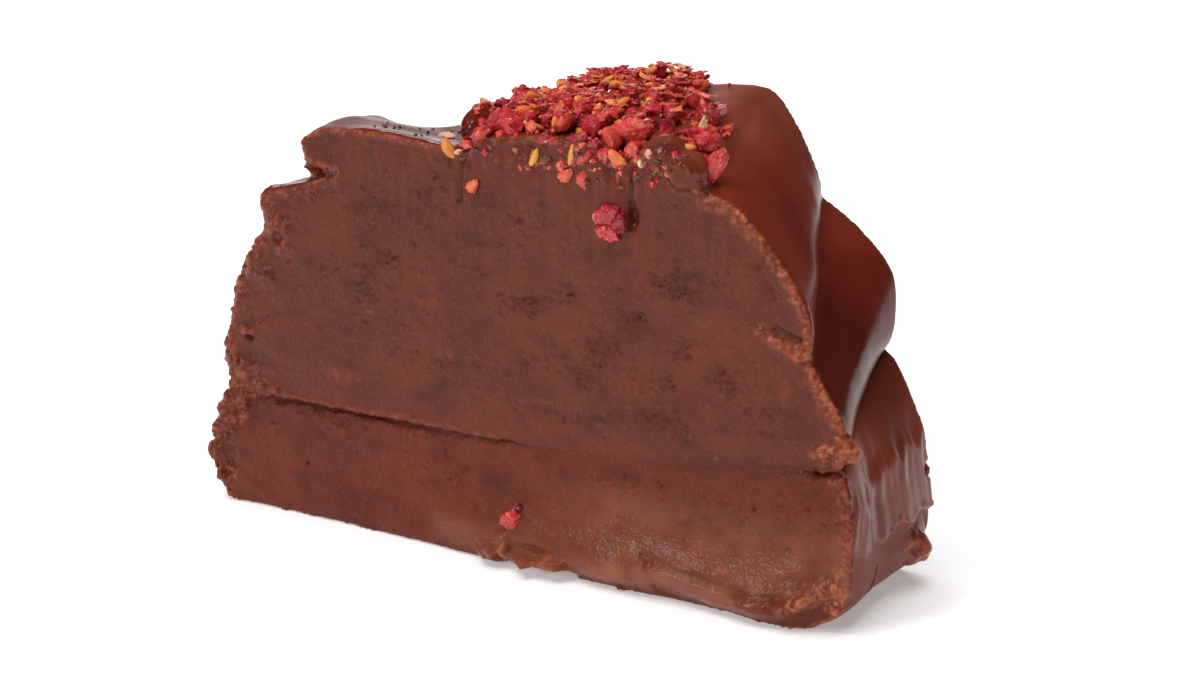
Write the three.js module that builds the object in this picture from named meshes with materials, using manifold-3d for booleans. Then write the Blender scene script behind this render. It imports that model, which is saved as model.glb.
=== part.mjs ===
// A slice of slab-made chocolate fudge, cut from a folded loaf. A rolled base layer carries a thicker
// layer of soft folds, and freeze-dried raspberry pieces are heaped on top and dragged down by the knife.
// Millimetres, +Z up. The front cut faces -Y, and the glossy folded side faces +X.
import * as THREE from "three";
import { mergeVertices } from "three/addons/utils/BufferGeometryUtils.js";
import Module from "manifold-3d";

const wasm = await Module();
wasm.setup();

// Driving dimensions
const SLICE_DEPTH = 26; // between the two knife cuts
const LAYER_GAP = 0.3; // left open between the two layers
const CUT_EDGE = 0.35; // how far the outline draws in right at a cut
const SEAM_RISE = 3.2; // power of the seam's climb towards the folded side
const FOLD_STEPS = 9; // points along each fold
const SEAM_STEPS = 22; // points along the seam
const CENTRE_X = 0.33; // middle of the footprint, in the coordinates of the fold lists
const CENTRE_Y = -0.72;

// Shares of the depth at which the outline is drawn
const STATIONS = [0, 0.03, 0.1, 0.2, 0.31, 0.43, 0.55, 0.67, 0.79, 0.9, 0.97, 1];

// The layers are outlined by folds, anticlockwise as seen from the front. Each fold swells out between
// its own crease and the next one. Creases are given at the front cut and at the back cut as [x, z], with
// their extra drift at mid depth. A fold has its swell at each cut, its lean and how blunt it is.
const fold = (name, front, back, drift, swell, lean, blunt) => ({
  name,
  front,
  back,
  drift,
  swell,
  lean,
  blunt,
});

const BASE_FOLDS = [
  fold("seam_left", [-47.4, 17.3], [-45, 19], [0, 0], [1.6, 1.6], 1.15, 0.6),
  fold("heel_left", [-51.2, 3.9], [-49.5, 4], [-0.3, 0], [1, 1], 1, 0.6),
  fold("foot_left", [-47, 0], [-45.5, 0], [0, 0], [0, 0], 1, 1),
  fold("foot_right", [43, 0], [46.5, 0], [0, 0], [1.6, 0.8], 1, 0.6),
  fold("heel_right", [51.4, 4.6], [50.6, 5.6], [0.3, 0], [1.3, 2.6], 1.1, 0.6),
  fold("seam_right", [50.6, 22.6], [43.9, 31.2], [-1.4, 0.8], [0, 0], 1, 1),
];

const TOP_FOLDS = [
  fold("seam_right", [51.6, 23.6], [43.9, 31.6], [-1.4, 0.8], [0.9, 1.3], 0.95, 0.6),
  fold("elbow", [48.4, 31.8], [44, 43], [0.6, 0], [0.3, 0.9], 1, 0.7),
  fold("crease_right", [45.3, 36.4], [33.2, 51], [0, 0], [4.4, 1.6], 0.85, 0.6),
  fold("lip_right", [30.4, 56], [25.5, 65], [0, 0], [3.4, 0.9], 1, 0.6),
  fold("groove", [18.4, 58.6], [8, 62.4], [0, 0], [3, 1.5], 1.15, 0.6),
  fold("saddle", [-6.4, 57.2], [-21, 54.6], [0, -0.4], [0.6, -1.3], 1.2, 0.9),
  fold("shoulder", [-29.2, 58], [-39.5, 53.5], [0, 0.6], [5, 2.6], 1, 0.6),
  fold("notch", [-28.3, 51.9], [-37.5, 48], [-2, -2.5], [-0.4, 0.6], 0.7, 0.7),
  fold("shelf_tip", [-40.6, 47.6], [-44.5, 45], [-0.6, 0], [0.6, 0.8], 1, 0.7),
  fold("nick", [-40.2, 42.6], [-43.5, 41], [0, 0], [3.2, 2.1], 1.2, 0.7),
  fold("seam_left", [-47.4, 17.9], [-45, 19.5], [0, 0], [0, 0], 1, 1),
];

const mix = (a, b, t) => a + (b - a) * t;
const hump = (t) => 4 * t * (1 - t);
// A repeatable draw between 0 and 1 for item number n.
const draw = (n, kind) => {
  const v = Math.sin(n * 12.9898 + kind * 78.233) * 43758.5453;
  return v - Math.floor(v);
};

// Where a crease lies at a share of the depth.
function creaseAt(f, depth) {
  return new THREE.Vector2(
    mix(f.front[0], f.back[0], depth) + f.drift[0] * hump(depth),
    mix(f.front[1], f.back[1], depth) + f.drift[1] * hump(depth),
  );
}

// A point of fold number i, along it from 0 to 1, at a share of the depth.
function foldPoint(folds, i, along, depth) {
  const f = folds[i];
  const start = creaseAt(f, depth);
  const chord = creaseAt(folds[i + 1], depth).sub(start);
  const out = new THREE.Vector2(chord.y, -chord.x).normalize();
  const lean = Math.abs(2 * along ** f.lean - 1);
  const rise = mix(...f.swell, depth) * (1 - lean ** 2.2) ** f.blunt;
  const p = start.addScaledVector(chord, along).addScaledVector(out, rise);
  p.y = Math.max(p.y, 0);
  return p;
}

// Height of the seam at a share of its length from left to right.
function seamPoint(along, depth) {
  const left = creaseAt(BASE_FOLDS[0], depth);
  const right = creaseAt(BASE_FOLDS[BASE_FOLDS.length - 1], depth);
  return new THREE.Vector2(
    mix(left.x, right.x, along),
    mix(left.y, right.y, along ** SEAM_RISE),
  );
}

// One closed outline: the folds, and then the seam back to the first crease.
function outline(folds, depth, seamLift) {
  const points = [];
  for (let i = 0; i < folds.length - 1; i++)
    for (let k = 0; k < FOLD_STEPS; k++)
      points.push(foldPoint(folds, i, k / FOLD_STEPS, depth));
  points.push(creaseAt(folds[folds.length - 1], depth));
  const rightward = folds === TOP_FOLDS;
  for (let k = 1; k < SEAM_STEPS; k++) {
    const along = rightward ? k / SEAM_STEPS : 1 - k / SEAM_STEPS;
    const p = seamPoint(along, depth);
    p.y += seamLift;
    points.push(p);
  }
  return points;
}

// Moves every point of an outline out along its own normal, or in when the distance is negative.
function grown(points, distance) {
  return points.map((p, i) => {
    const before = points[(i + points.length - 1) % points.length];
    const after = points[(i + 1) % points.length];
    const out = new THREE.Vector2(after.y - before.y, before.x - after.x).normalize();
    const q = p.clone().addScaledVector(out, distance);
    q.y = Math.max(q.y, 0);
    return q;
  });
}

// A layer's solid: its outlines joined along the depth, with a flat knife cut at each end.
function layerGeometry(folds, seamLift, grow = 0) {
  const rings = STATIONS.map((depth) => {
    const atCut = depth === 0 || depth === 1;
    return grown(outline(folds, depth, seamLift), grow - (atCut ? CUT_EDGE : 0));
  });
  const count = rings[0].length;
  const positions = [];
  rings.forEach((ring, r) => {
    const y = (STATIONS[r] - 0.5) * (SLICE_DEPTH + 2 * grow);
    for (const p of ring) positions.push(p.x, y, p.y);
  });
  const index = [];
  for (let r = 0; r < rings.length - 1; r++)
    for (let i = 0; i < count; i++) {
      const a = r * count + i;
      const b = r * count + ((i + 1) % count);
      index.push(a, a + count, b + count, a, b + count, b);
    }
  for (const [a, b, c] of THREE.ShapeUtils.triangulateShape(rings[0], []))
    index.push(a, b, c);
  const last = (rings.length - 1) * count;
  for (const [a, b, c] of THREE.ShapeUtils.triangulateShape(rings[rings.length - 1], []))
    index.push(last + a, last + c, last + b);
  const geometry = new THREE.BufferGeometry();
  geometry.setAttribute("position", new THREE.Float32BufferAttribute(positions, 3));
  geometry.setIndex(index);
  return geometry;
}

function solidOf(geometry) {
  const bare = geometry.clone();
  bare.deleteAttribute("normal");
  bare.deleteAttribute("uv");
  const merged = mergeVertices(bare, 1e-4);
  const mesh = new wasm.Mesh({
    numProp: 3,
    vertProperties: merged.attributes.position.array,
    triVerts: new Uint32Array(merged.index.array),
  });
  return new wasm.Manifold(mesh);
}

function geometryOf(solid) {
  const mesh = solid.getMesh();
  const geometry = new THREE.BufferGeometry();
  geometry.setAttribute("position", new THREE.BufferAttribute(mesh.vertProperties, 3));
  geometry.setIndex(new THREE.BufferAttribute(mesh.triVerts, 1));
  geometry.computeVertexNormals();
  return geometry;
}

// A body joined with the pieces that lie on it. A scrap that touches nothing is dropped.
function fused(body, pieces) {
  const joined = wasm.Manifold.union([body, ...pieces]);
  const parts = joined.decompose();
  return parts.reduce((best, part) => (part.volume() > best.volume() ? part : best));
}

// A broken lump: a rounded block with uneven corners. size is its length, width and height.
function lump(number, at, size, facets = 1) {
  const bare = new THREE.OctahedronGeometry(0.5, facets);
  bare.deleteAttribute("normal");
  bare.deleteAttribute("uv");
  const geometry = mergeVertices(bare, 1e-4);
  const corner = geometry.attributes.position;
  const turn = new THREE.Euler(
    draw(number, 5) * Math.PI,
    draw(number, 6) * Math.PI,
    draw(number, 7) * Math.PI,
  );
  const p = new THREE.Vector3();
  for (let k = 0; k < corner.count; k++) {
    const uneven = 0.8 + 0.4 * draw(number * 31 + k, 8);
    p.fromBufferAttribute(corner, k).multiplyScalar(uneven).applyEuler(turn);
    p.multiply(size).add(at);
    corner.setXYZ(k, p.x, p.y, Math.max(p.z, 0.1));
  }
  return solidOf(geometry);
}

// A point on the top of the slice. across runs from the lip on the right (0) to the saddle (1).
const LIP_FOLD = TOP_FOLDS.findIndex((f) => f.name === "lip_right");
const NICK_FOLD = TOP_FOLDS.findIndex((f) => f.name === "nick");
const LIP_SHARE = 0.34;
function topPoint(across, depth) {
  const onLip = across < LIP_SHARE;
  const i = onLip ? LIP_FOLD : LIP_FOLD + 1;
  const along = onLip ? across / LIP_SHARE : (across - LIP_SHARE) / (1 - LIP_SHARE);
  const p = foldPoint(TOP_FOLDS, i, along, depth);
  return new THREE.Vector3(p.x, (depth - 0.5) * SLICE_DEPTH, p.y);
}

// The raspberry heap
const HEAP_PIECES = 120;
const HEAP_LARGEST = 5;
const HEAP_SMALLEST = 2.6;
const HEAP_LIFT = 5.2; // how high its crown stands over the fudge
const HEAP_CROWN = 0.3; // where the crown lies, across the top
const HEAP_CORES = [
  { across: 0.33, depth: 0.6, size: new THREE.Vector3(15, 15, 9) },
  { across: 0.6, depth: 0.58, size: new THREE.Vector3(19, 15, 5) },
];

// How high the heap stands at a place, as a share of its crown.
function heapDome(across, depth) {
  const side = across < HEAP_CROWN ? across / HEAP_CROWN : (1 - across) / (1 - HEAP_CROWN);
  return side ** 1.2 * mix(0.1, 1, Math.sin(Math.PI * Math.min(depth / 1.2, 1)));
}

// How likely a piece is to lie at a place. The lip is bare at the back and has few pieces in front, and
// the knife has left little along the front edge.
function heapCover(across, depth) {
  if (across < 0.17 && depth > 0.5) return 0;
  if (across < 0.3 && depth < 0.42) return 0.3;
  return depth < 0.14 ? 0.4 : 1;
}

function heapPieces() {
  const pieces = [];
  HEAP_CORES.forEach(({ across, depth, size }, k) => {
    pieces.push(lump(7 + k, topPoint(across, depth), size, 3));
  });
  for (let i = 0; i < HEAP_PIECES; i++) {
    const across = mix(0.04, 0.97, (0.5 + i * 0.7548776662) % 1);
    const depth = mix(0.05, 0.97, (0.5 + i * 0.5698402909) % 1);
    if (draw(i, 1) > heapCover(across, depth)) continue;
    const dome = heapDome(across, depth);
    const share = i / HEAP_PIECES;
    const length = mix(HEAP_LARGEST, HEAP_SMALLEST, share) * mix(0.85, 1.15, draw(i, 2));
    const flat = mix(0.5, 0.8, draw(i, 4));
    const at = topPoint(across, depth);
    at.z += HEAP_LIFT * dome * mix(0.5, 1, draw(i, 3)) + 0.1 * length;
    pieces.push(lump(i, at, new THREE.Vector3(length, length * 0.8, length * flat)));
  }
  return pieces;
}

// Pieces of their own: raspberry that the knife dragged over the front cut, or that lies by itself.
const FRONT = -SLICE_DEPTH / 2;
const TOP_CHIPS = [
  { name: "chunk in the groove", at: [16, FRONT - 0.6, 50.7], size: [4.9, 3, 5.4] },
  { name: "chip in the left groove", at: [-5.3, FRONT - 0.2, 52.6], size: [2, 1.6, 2.2] },
  { name: "left seed", at: [-9.4, FRONT + 0.1, 57.2], size: [2.9, 2, 2.4] },
  { name: "left flesh", at: [-6.6, FRONT + 0.2, 58.2], size: [2.2, 1.8, 1.4] },
  { name: "left pink flake", at: [-11.2, FRONT + 2, 58.8], size: [3, 2, 1.2] },
  { name: "deep red chunk", at: [-2.4, FRONT + 3.6, 61], size: [6.2, 4.4, 4.4] },
  { name: "red chunk", at: [18, FRONT + 2, 63], size: [6.6, 4.2, 4] },
  { name: "yellow seed", at: [4.4, FRONT, 57.8], size: [1.7, 1.4, 2.6] },
  { name: "orange seed", at: [10.2, FRONT, 58.9], size: [1.6, 1.4, 3] },
  { name: "red pair, left", at: [9.3, FRONT, 55.9], size: [2.4, 1.8, 2.2] },
  { name: "red pair, right", at: [11.9, FRONT, 55.8], size: [1.8, 1.8, 2.8] },
  { name: "seed in flesh", at: [17, FRONT, 59.2], size: [3, 2.2, 3.2] },
  { name: "seed on the lip", at: [26.4, FRONT + 1.4, 61.2], size: [3.2, 2.2, 2] },
  { name: "seed behind the lip", at: [27, FRONT + 4.5, 62.6], size: [3.4, 2.6, 2.6] },
  { name: "pink flake", at: [26.9, FRONT + 9.6, 64.8], size: [2.6, 2, 3.6] },
  { name: "red strip in the crease", at: [30.6, FRONT + 2, 59.2], size: [2.8, 2.6, 5.2] },
  { name: "red strip above it", at: [28.6, FRONT + 4, 62], size: [2.2, 2.2, 3.6] },
];
const BASE_CHIP = { at: [1, FRONT - 0.3, 6.7], size: [3.4, 2.4, 3.8] };

// Fudge torn loose by the knife: [x, y from the front cut, z] and [length, width, height]
const TOP_SCRAPS = [
  { name: "crumb at the seam's end", at: [51.3, 0, 25.3], size: [3.2, 2.6, 2.6] },
  { name: "crumb beside it", at: [48.2, -0.1, 24.6], size: [2.4, 1.6, 1.8] },
  { name: "torn tip of the second fold", at: [44.6, 0, 37.6], size: [2.4, 2, 3.2] },
  { name: "end of the raised fold", at: [-8.6, 9, 59], size: [6.4, 11, 6.4] },
  { name: "crumb beside that end", at: [-12.6, 12, 59], size: [3.4, 2, 1.6] },
];
const BASE_SCRAPS = [
  { name: "smear, left", at: [-0.4, -0.4, 2.4], size: [6.4, 2.4, 4.2] },
  { name: "smear, right", at: [6, -0.5, 2], size: [8.4, 2.2, 3] },
  { name: "burr at the right foot", at: [48.3, 0.2, 3.2], size: [5.6, 2, 2.8] },
  { name: "burr above it", at: [50.8, 0, 5.2], size: [2.6, 1.8, 2.4] },
  { name: "crumb at the back", at: [51.2, 21.5, 6.4], size: [4, 4.2, 4.6] },
  { name: "crumb on the back edge", at: [50.6, 25, 15.3], size: [1.8, 1.8, 2] },
];

// Torn crumbs down the left edge of a layer's front cut. from and to are shares of the fold.
const BASE_EDGE = { first: 200, count: 18, from: 0, to: 0.95, smallest: 1.2, largest: 2.6, inward: 2.6 };
const TOP_EDGE = { first: 240, count: 12, from: 0.3, to: 0.97, smallest: 1, largest: 2, inward: 1.2 };
function edgeCrumbs(folds, i, edge) {
  const crumbs = [];
  for (let k = 0; k < edge.count; k++) {
    const n = edge.first + k;
    const share = k / edge.count;
    const p = foldPoint(folds, i, mix(edge.from, edge.to, share), 0);
    const length = mix(edge.smallest, edge.largest, draw(n, 11));
    const inward = mix(0.4, edge.inward, draw(n, 12) * (1 - share));
    const at = new THREE.Vector3(p.x + inward, FRONT + mix(-0.2, 0.8, draw(n, 13)), p.y);
    const size = new THREE.Vector3(length, length * 0.9, length * mix(0.75, 1.1, draw(n, 14)));
    crumbs.push(lump(n, at, size));
  }
  return crumbs;
}

const placed = (list, first) =>
  list.map(({ at, size }, k) =>
    lump(first + k, new THREE.Vector3(...at), new THREE.Vector3(...size)),
  );
const fromCut = (list) =>
  list.map(({ at, size }) => ({ at: [at[0], FRONT + at[1], at[2]], size }));

function topLayer() {
  const body = solidOf(layerGeometry(TOP_FOLDS, LAYER_GAP));
  const base = solidOf(layerGeometry(BASE_FOLDS, LAYER_GAP / 2, LAYER_GAP));
  const chips = placed(TOP_CHIPS, 300);
  const scraps = placed(fromCut(TOP_SCRAPS), 340);
  const crumbs = edgeCrumbs(TOP_FOLDS, NICK_FOLD, TOP_EDGE);
  const loose = [...heapPieces(), ...chips, ...scraps, ...crumbs].map((p) => p.subtract(base));
  return fused(body, loose);
}

function baseLayer() {
  const body = solidOf(layerGeometry(BASE_FOLDS, 0));
  const top = solidOf(layerGeometry(TOP_FOLDS, 0, LAYER_GAP));
  const scraps = placed(fromCut(BASE_SCRAPS), 360);
  const crumbs = edgeCrumbs(BASE_FOLDS, 0, BASE_EDGE);
  const loose = [...crumbs, ...placed([BASE_CHIP], 380), ...scraps];
  return fused(body, loose.map((p) => p.subtract(top)));
}

const topFudge = new THREE.MeshStandardMaterial({ color: 0x6a3f33, roughness: 0.6 });
const baseFudge = new THREE.MeshStandardMaterial({ color: 0x70392c, roughness: 0.5 });

function layerMesh(name, solid, material) {
  const mesh = new THREE.Mesh(geometryOf(solid), material);
  mesh.name = name;
  mesh.position.set(-CENTRE_X, -CENTRE_Y, 0);
  return mesh;
}

const slice = new THREE.Group();
slice.name = "chocolate_fudge_slice";
slice.add(layerMesh("base_layer", baseLayer(), baseFudge));
slice.add(layerMesh("top_layer", topLayer(), topFudge));

export default slice;
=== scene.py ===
"""A slice of slab-made chocolate fudge: the soft folds, the two knife cuts, and the raspberry heap on top.

Lengths are in millimetres here and turned to metres as each piece is made.
"""

import math

import bpy
import numpy as np
from mathutils import Matrix, Vector
from mathutils.bvhtree import BVHTree


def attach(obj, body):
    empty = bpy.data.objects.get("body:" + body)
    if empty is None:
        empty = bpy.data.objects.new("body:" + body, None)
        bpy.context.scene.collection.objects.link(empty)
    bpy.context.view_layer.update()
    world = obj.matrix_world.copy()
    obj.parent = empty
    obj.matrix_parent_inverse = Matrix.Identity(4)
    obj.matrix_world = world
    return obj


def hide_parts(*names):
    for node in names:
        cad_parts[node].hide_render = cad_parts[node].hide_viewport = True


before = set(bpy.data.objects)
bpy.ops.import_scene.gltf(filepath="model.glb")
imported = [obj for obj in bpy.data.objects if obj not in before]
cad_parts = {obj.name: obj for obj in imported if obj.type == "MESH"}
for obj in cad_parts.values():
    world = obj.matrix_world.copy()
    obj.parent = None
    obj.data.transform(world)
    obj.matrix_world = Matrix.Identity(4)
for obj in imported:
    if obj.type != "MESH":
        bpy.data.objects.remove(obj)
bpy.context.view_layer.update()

MM = 0.001
SLICE_DEPTH = 26.0  # between the two knife cuts
FRONT = -SLICE_DEPTH / 2
CUT_EDGE = 0.35  # how far the outline draws in right at a cut
SEAM_RISE = 3.2  # power of the seam's climb towards the folded side
CENTRE = np.array([0.33, -0.72, 0.0])  # middle of the footprint, in the coordinates of the fold lists
# How long the faces of the blocks are, for less than 200,000 triangles a piece
TOP_FACE_MM, BASE_FACE_MM = 0.53, 0.46


# Small tools


def mix(a, b, t):
    return a + (b - a) * t


def hump(t):
    return 4 * t * (1 - t)


def step(low, high, value):
    """0 below low, 1 above high, and a soft ramp between them. low may be the larger."""
    t = np.clip((value - low) / (high - low), 0, 1)
    return t * t * (3 - 2 * t)


def draw(n, kind):
    """A repeatable draw between 0 and 1 for item number n."""
    value = math.sin(n * 12.9898 + kind * 78.233) * 43758.5453
    return value - math.floor(value)


def cloud(points, size, seed):
    """A smooth random field from -1 to 1, its features about size apart. size may differ by axis."""
    table = np.random.default_rng(seed).random((32, 32, 32)) * 2 - 1
    cell = points / np.asarray(size, float) + 512.37
    low = np.floor(cell).astype(int)
    part = cell - low
    part = part * part * (3 - 2 * part)
    total = np.zeros(len(points))
    for dx in (0, 1):
        for dy in (0, 1):
            for dz in (0, 1):
                share = np.where(dx, part[:, 0], 1 - part[:, 0])
                share = share * np.where(dy, part[:, 1], 1 - part[:, 1])
                share = share * np.where(dz, part[:, 2], 1 - part[:, 2])
                corner = (low + np.array([dx, dy, dz])) % 32
                total += share * table[corner[:, 0], corner[:, 1], corner[:, 2]]
    return total


def rough_cloud(points, size, seed):
    """Three clouds, each finer and weaker than the one before."""
    size = np.asarray(size, float)
    total = cloud(points, size, seed) + 0.5 * cloud(points, size * 0.48, seed + 1)
    return (total + 0.25 * cloud(points, size * 0.23, seed + 2)) / 1.4


def points_of(piece):
    co = np.empty(len(piece.data.vertices) * 3, np.float32)
    piece.data.vertices.foreach_get("co", co)
    return co.reshape(-1, 3).astype(float) / MM


def normals_of(piece):
    out = np.empty(len(piece.data.vertices) * 3, np.float32)
    piece.data.vertices.foreach_get("normal", out)
    return out.reshape(-1, 3).astype(float)


def put_points(piece, points):
    piece.data.vertices.foreach_set("co", (points * MM).astype(np.float32).ravel())
    piece.data.update()


def paint(piece, name, values):
    """Keeps a number for each point of a piece, which its material reads by name."""
    layer = piece.data.attributes.get(name) or piece.data.attributes.new(name, "FLOAT", "POINT")
    layer.data.foreach_set("value", np.clip(values, 0, 1).astype(np.float32))


def choose(*pieces):
    """Selects these pieces alone."""
    if bpy.context.object and bpy.context.object.mode != "OBJECT":
        bpy.ops.object.mode_set(mode="OBJECT")
    bpy.ops.object.select_all(action="DESELECT")
    for piece in pieces:
        piece.select_set(True)
        bpy.context.view_layer.objects.active = piece


def edit(piece, *steps):
    """Runs edit-mode steps on the whole of a piece."""
    choose(piece)
    bpy.ops.object.mode_set(mode="EDIT")
    bpy.ops.mesh.select_all(action="SELECT")
    for operator, settings in steps:
        operator(**settings)
    bpy.ops.object.mode_set(mode="OBJECT")


def apply_modifier(piece, kind, **settings):
    choose(piece)
    bpy.ops.object.modifier_add(type=kind)
    modifier = piece.modifiers[-1]
    for name, value in settings.items():
        setattr(modifier, name, value)
    bpy.ops.object.modifier_apply(modifier=modifier.name)


# Colours and materials


def colour(code):
    """An sRGB hex code as a linear colour."""
    parts = [int(code[i : i + 2], 16) / 255 for i in (1, 3, 5)]
    return tuple(p / 12.92 if p <= 0.04045 else ((p + 0.055) / 1.055) ** 2.4 for p in parts) + (1.0,)


def add_node(material, kind, settings=None, **links):
    """Adds a node. A setting is a property or an input's value; a link names an input, or _N for input N."""
    node = material.node_tree.nodes.new("ShaderNode" + kind)
    for name, value in (settings or {}).items():
        if isinstance(name, str) and hasattr(node, name):
            setattr(node, name, value)
        else:
            node.inputs[name].default_value = value
    for name, source in links.items():
        target = node.inputs[int(name[1:]) if name[0] == "_" else name]
        material.node_tree.links.new(source, target)
    return node


def confection(name, patterns, layers, gloss, relief, specular):
    """A material laid up in layers.

    patterns: name -> (size in mm, detail, stretch). layers: (pattern, low, high, share, mark, colour), each laid
    over the last where its pattern and its painted mark are strong. gloss: roughness, then (mark, roughness).
    relief: (pattern, height, mark), and the marks that smooth it away.
    """
    material = bpy.data.materials.new(name)
    material.use_nodes = True
    material.node_tree.nodes.clear()
    link = material.node_tree.links.new
    output = add_node(material, "OutputMaterial")
    shader = add_node(material, "BsdfPrincipled", {"Specular IOR Level": specular, "IOR": 1.45})
    link(shader.outputs["BSDF"], output.inputs["Surface"])
    place = add_node(material, "TexCoord").outputs["Object"]
    used = {mark for *_, mark, _ in layers} | {mark for mark, _ in gloss[1]} | {mark for *_, mark in relief[0]}
    marks = {}
    for mark in sorted(used | set(relief[1]) - {None}, key=str):
        if mark:
            marks[mark] = add_node(material, "Attribute", {"attribute_name": mark}).outputs["Fac"]
    noise = {}
    for label, (size_mm, detail, stretch) in patterns.items():
        turned = add_node(material, "Mapping", {"Scale": stretch}, Vector=place).outputs["Vector"]
        settings = {"Scale": 0.7 / (size_mm * MM), "Detail": detail}
        noise[label] = add_node(material, "TexNoise", settings, Vector=turned).outputs["Fac"]

    laid = None
    for label, low, high, share, mark, tint in layers:
        over = add_node(material, "Mix", {"data_type": "RGBA", 0: share, 7: colour(tint)})
        factor = None
        if label:
            settings = {"interpolation_type": "SMOOTHSTEP", "From Min": low, "From Max": high, "To Max": share}
            factor = add_node(material, "MapRange", settings, Value=noise[label]).outputs["Result"]
        if mark:
            strength = add_node(material, "Math", {"operation": "MULTIPLY", 1: share}, _0=marks[mark])
            if factor:
                strength.inputs[1].default_value = 1
                link(factor, strength.inputs[1])
            factor = strength.outputs["Value"]
        if factor:
            link(factor, over.inputs[0])
        if laid:
            link(laid, over.inputs[6])
        laid = over.outputs[2]
    link(laid, shader.inputs["Base Color"])

    roughness, changes = gloss
    shader.inputs["Roughness"].default_value = roughness
    rough = None
    for mark, value in changes:
        change = add_node(material, "Mix", {"data_type": "FLOAT", 2: roughness, 3: value}, _0=marks[mark])
        if rough:
            link(rough, change.inputs[2])
        rough = change.outputs[0]
    if rough:
        link(rough, shader.inputs["Roughness"])

    height = None
    for label, amount, mark in relief[0]:
        part = add_node(material, "Math", {"operation": "MULTIPLY_ADD", 1: amount, 2: 0}, _0=noise[label])
        if mark:
            limited = add_node(material, "Math", {"operation": "MULTIPLY", 1: amount}, _0=marks[mark])
            link(limited.outputs["Value"], part.inputs[1])
        if height:
            link(height, part.inputs[2])
        height = part.outputs["Value"]
    for mark in relief[1]:
        height = add_node(material, "Mix", {"data_type": "FLOAT", 3: 0.3}, _0=marks[mark], _2=height).outputs[0]
    bump = add_node(material, "Bump", {"Strength": 0.75, "Distance": 0.0004}, Height=height)
    link(bump.outputs["Normal"], shader.inputs["Normal"])
    return material


def fudge_material(name, cut, cut_warm, skin, skin_deep, specular):
    """Chocolate fudge, folded on a slab and cut with a knife.

    Set against the slab, its skin is glossy and deep red-brown. Where the knife went through, it is close-grained,
    satin and greyer, with fine plucked pits. Torn edges are orange-brown.
    """
    patterns = {
        "mottle": (7, 3, (1, 1, 1)),
        "smear": (3.2, 3, (1, 1, 1.6)),
        "grain": (0.34, 1, (1, 1, 1)),
        "coarse": (1.0, 2, (1, 1, 1)),
        "pits": (0.42, 1, (1, 1, 1.5)),
        "pebble": (0.36, 1, (1, 1, 1)),
        "drag": (1.1, 3, (1, 1, 0.1)),
        "crumble": (0.8, 3, (1, 1, 1)),
        "broad": (9, 2, (1, 1, 0.4)),
    }
    layers = [
        (None, 0, 0, 1, None, cut),
        ("mottle", 0.36, 0.64, 1, None, cut_warm),
        (None, 0, 0, 0.7, "warm", "#75301d"),
        ("grain", 0.56, 0.74, 0.28, None, "#8c4a36"),
        ("smear", 0.48, 0.72, 0.36, None, "#42180f"),
        ("drag", 0.52, 0.7, 0.3, "dragged", "#3c1810"),
        # painted shade: darker flecks in the hollows that the pits relief presses in
        ("pits", 0.58, 0.66, 0.3, "plucked", "#3a170f"),
        (None, 0, 0, 1, "torn", "#6b2b1a"),
        ("crumble", 0.46, 0.66, 0.8, "torn", "#8d4733"),
        # the orange inside of torn parts; laid on more strongly where edges stand out, as painted highlight
        (None, 0, 0, 1, "ember", "#944730"),
        ("crumble", 0.44, 0.7, 0.8, "ember", "#c4704c"),
        (None, 0, 0, 1, "skin", skin),
        ("broad", 0.35, 0.65, 1, "skin", skin_deep),
        # the dark mark: painted shade in the seam's trough and groove, tears, cracks, holes, creases, plucked hollows
        # and torn crevices; the fudge's own colour in stains and flecks
        (None, 0, 0, 0.8, "dark", "#26100c"),
        # painted shade: where the second fold lies under the third, and across the front cut
        (None, 0, 0, 0.6, "shade", "#2c0c07"),
        # paler tan: the dull crown of the third fold and smears low on the base; on the crest of the roll it is
        # painted highlight as well
        (None, 0, 0, 0.8, "tan", "#a2674e"),
        ("smear", 0.4, 0.6, 0.7, "stained", "#6a1716"),
    ]
    gloss = (0.42, [("skin", 0.24), ("dull", 0.5), ("torn", 0.28), ("wet", 0.08)])
    bumps = [("grain", 0.4, None), ("coarse", 0.5, None), ("pits", -1.3, "plucked"), ("pebble", 0.6, "pebbled")]
    return confection(name, patterns, layers, gloss, (bumps, ["skin", "wet"]), specular)


def berry_material(name, deep, middle, bright, pale, roughness, grain_mm):
    """Freeze-dried raspberry that has drawn a little moisture: rough, with a sugary grain and small glints."""
    patterns = {"patches": (1.6, 3, (1, 1, 1)), "grain": (grain_mm, 3, (1, 1, 1))}
    layers = [
        (None, 0, 0, 1, None, deep),
        (None, 0, 0, 1, "ripe", middle),
        (None, 0, 0, 1, "tone", bright),
        ("patches", 0.42, 0.66, 0.5, None, middle),
        ("patches", 0.62, 0.76, 0.6, None, bright),
        ("grain", 0.52, 0.74, 0.5, "crest", pale),
    ]
    return confection(name, patterns, layers, (roughness, []), ([("grain", 0.7, None)], []), 0.6)


# The folds, as in the solids


def fold(name, front, back, drift, swell, lean, blunt, rim=1.5):
    """A crease and the fold that swells from it to the next one. rim is how wide the knife tore its edge."""
    kept = dict(name=name, front=np.array(front), back=np.array(back), drift=np.array(drift))
    kept.update(swell=swell, lean=lean, blunt=blunt, rim=rim)
    return kept


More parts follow.
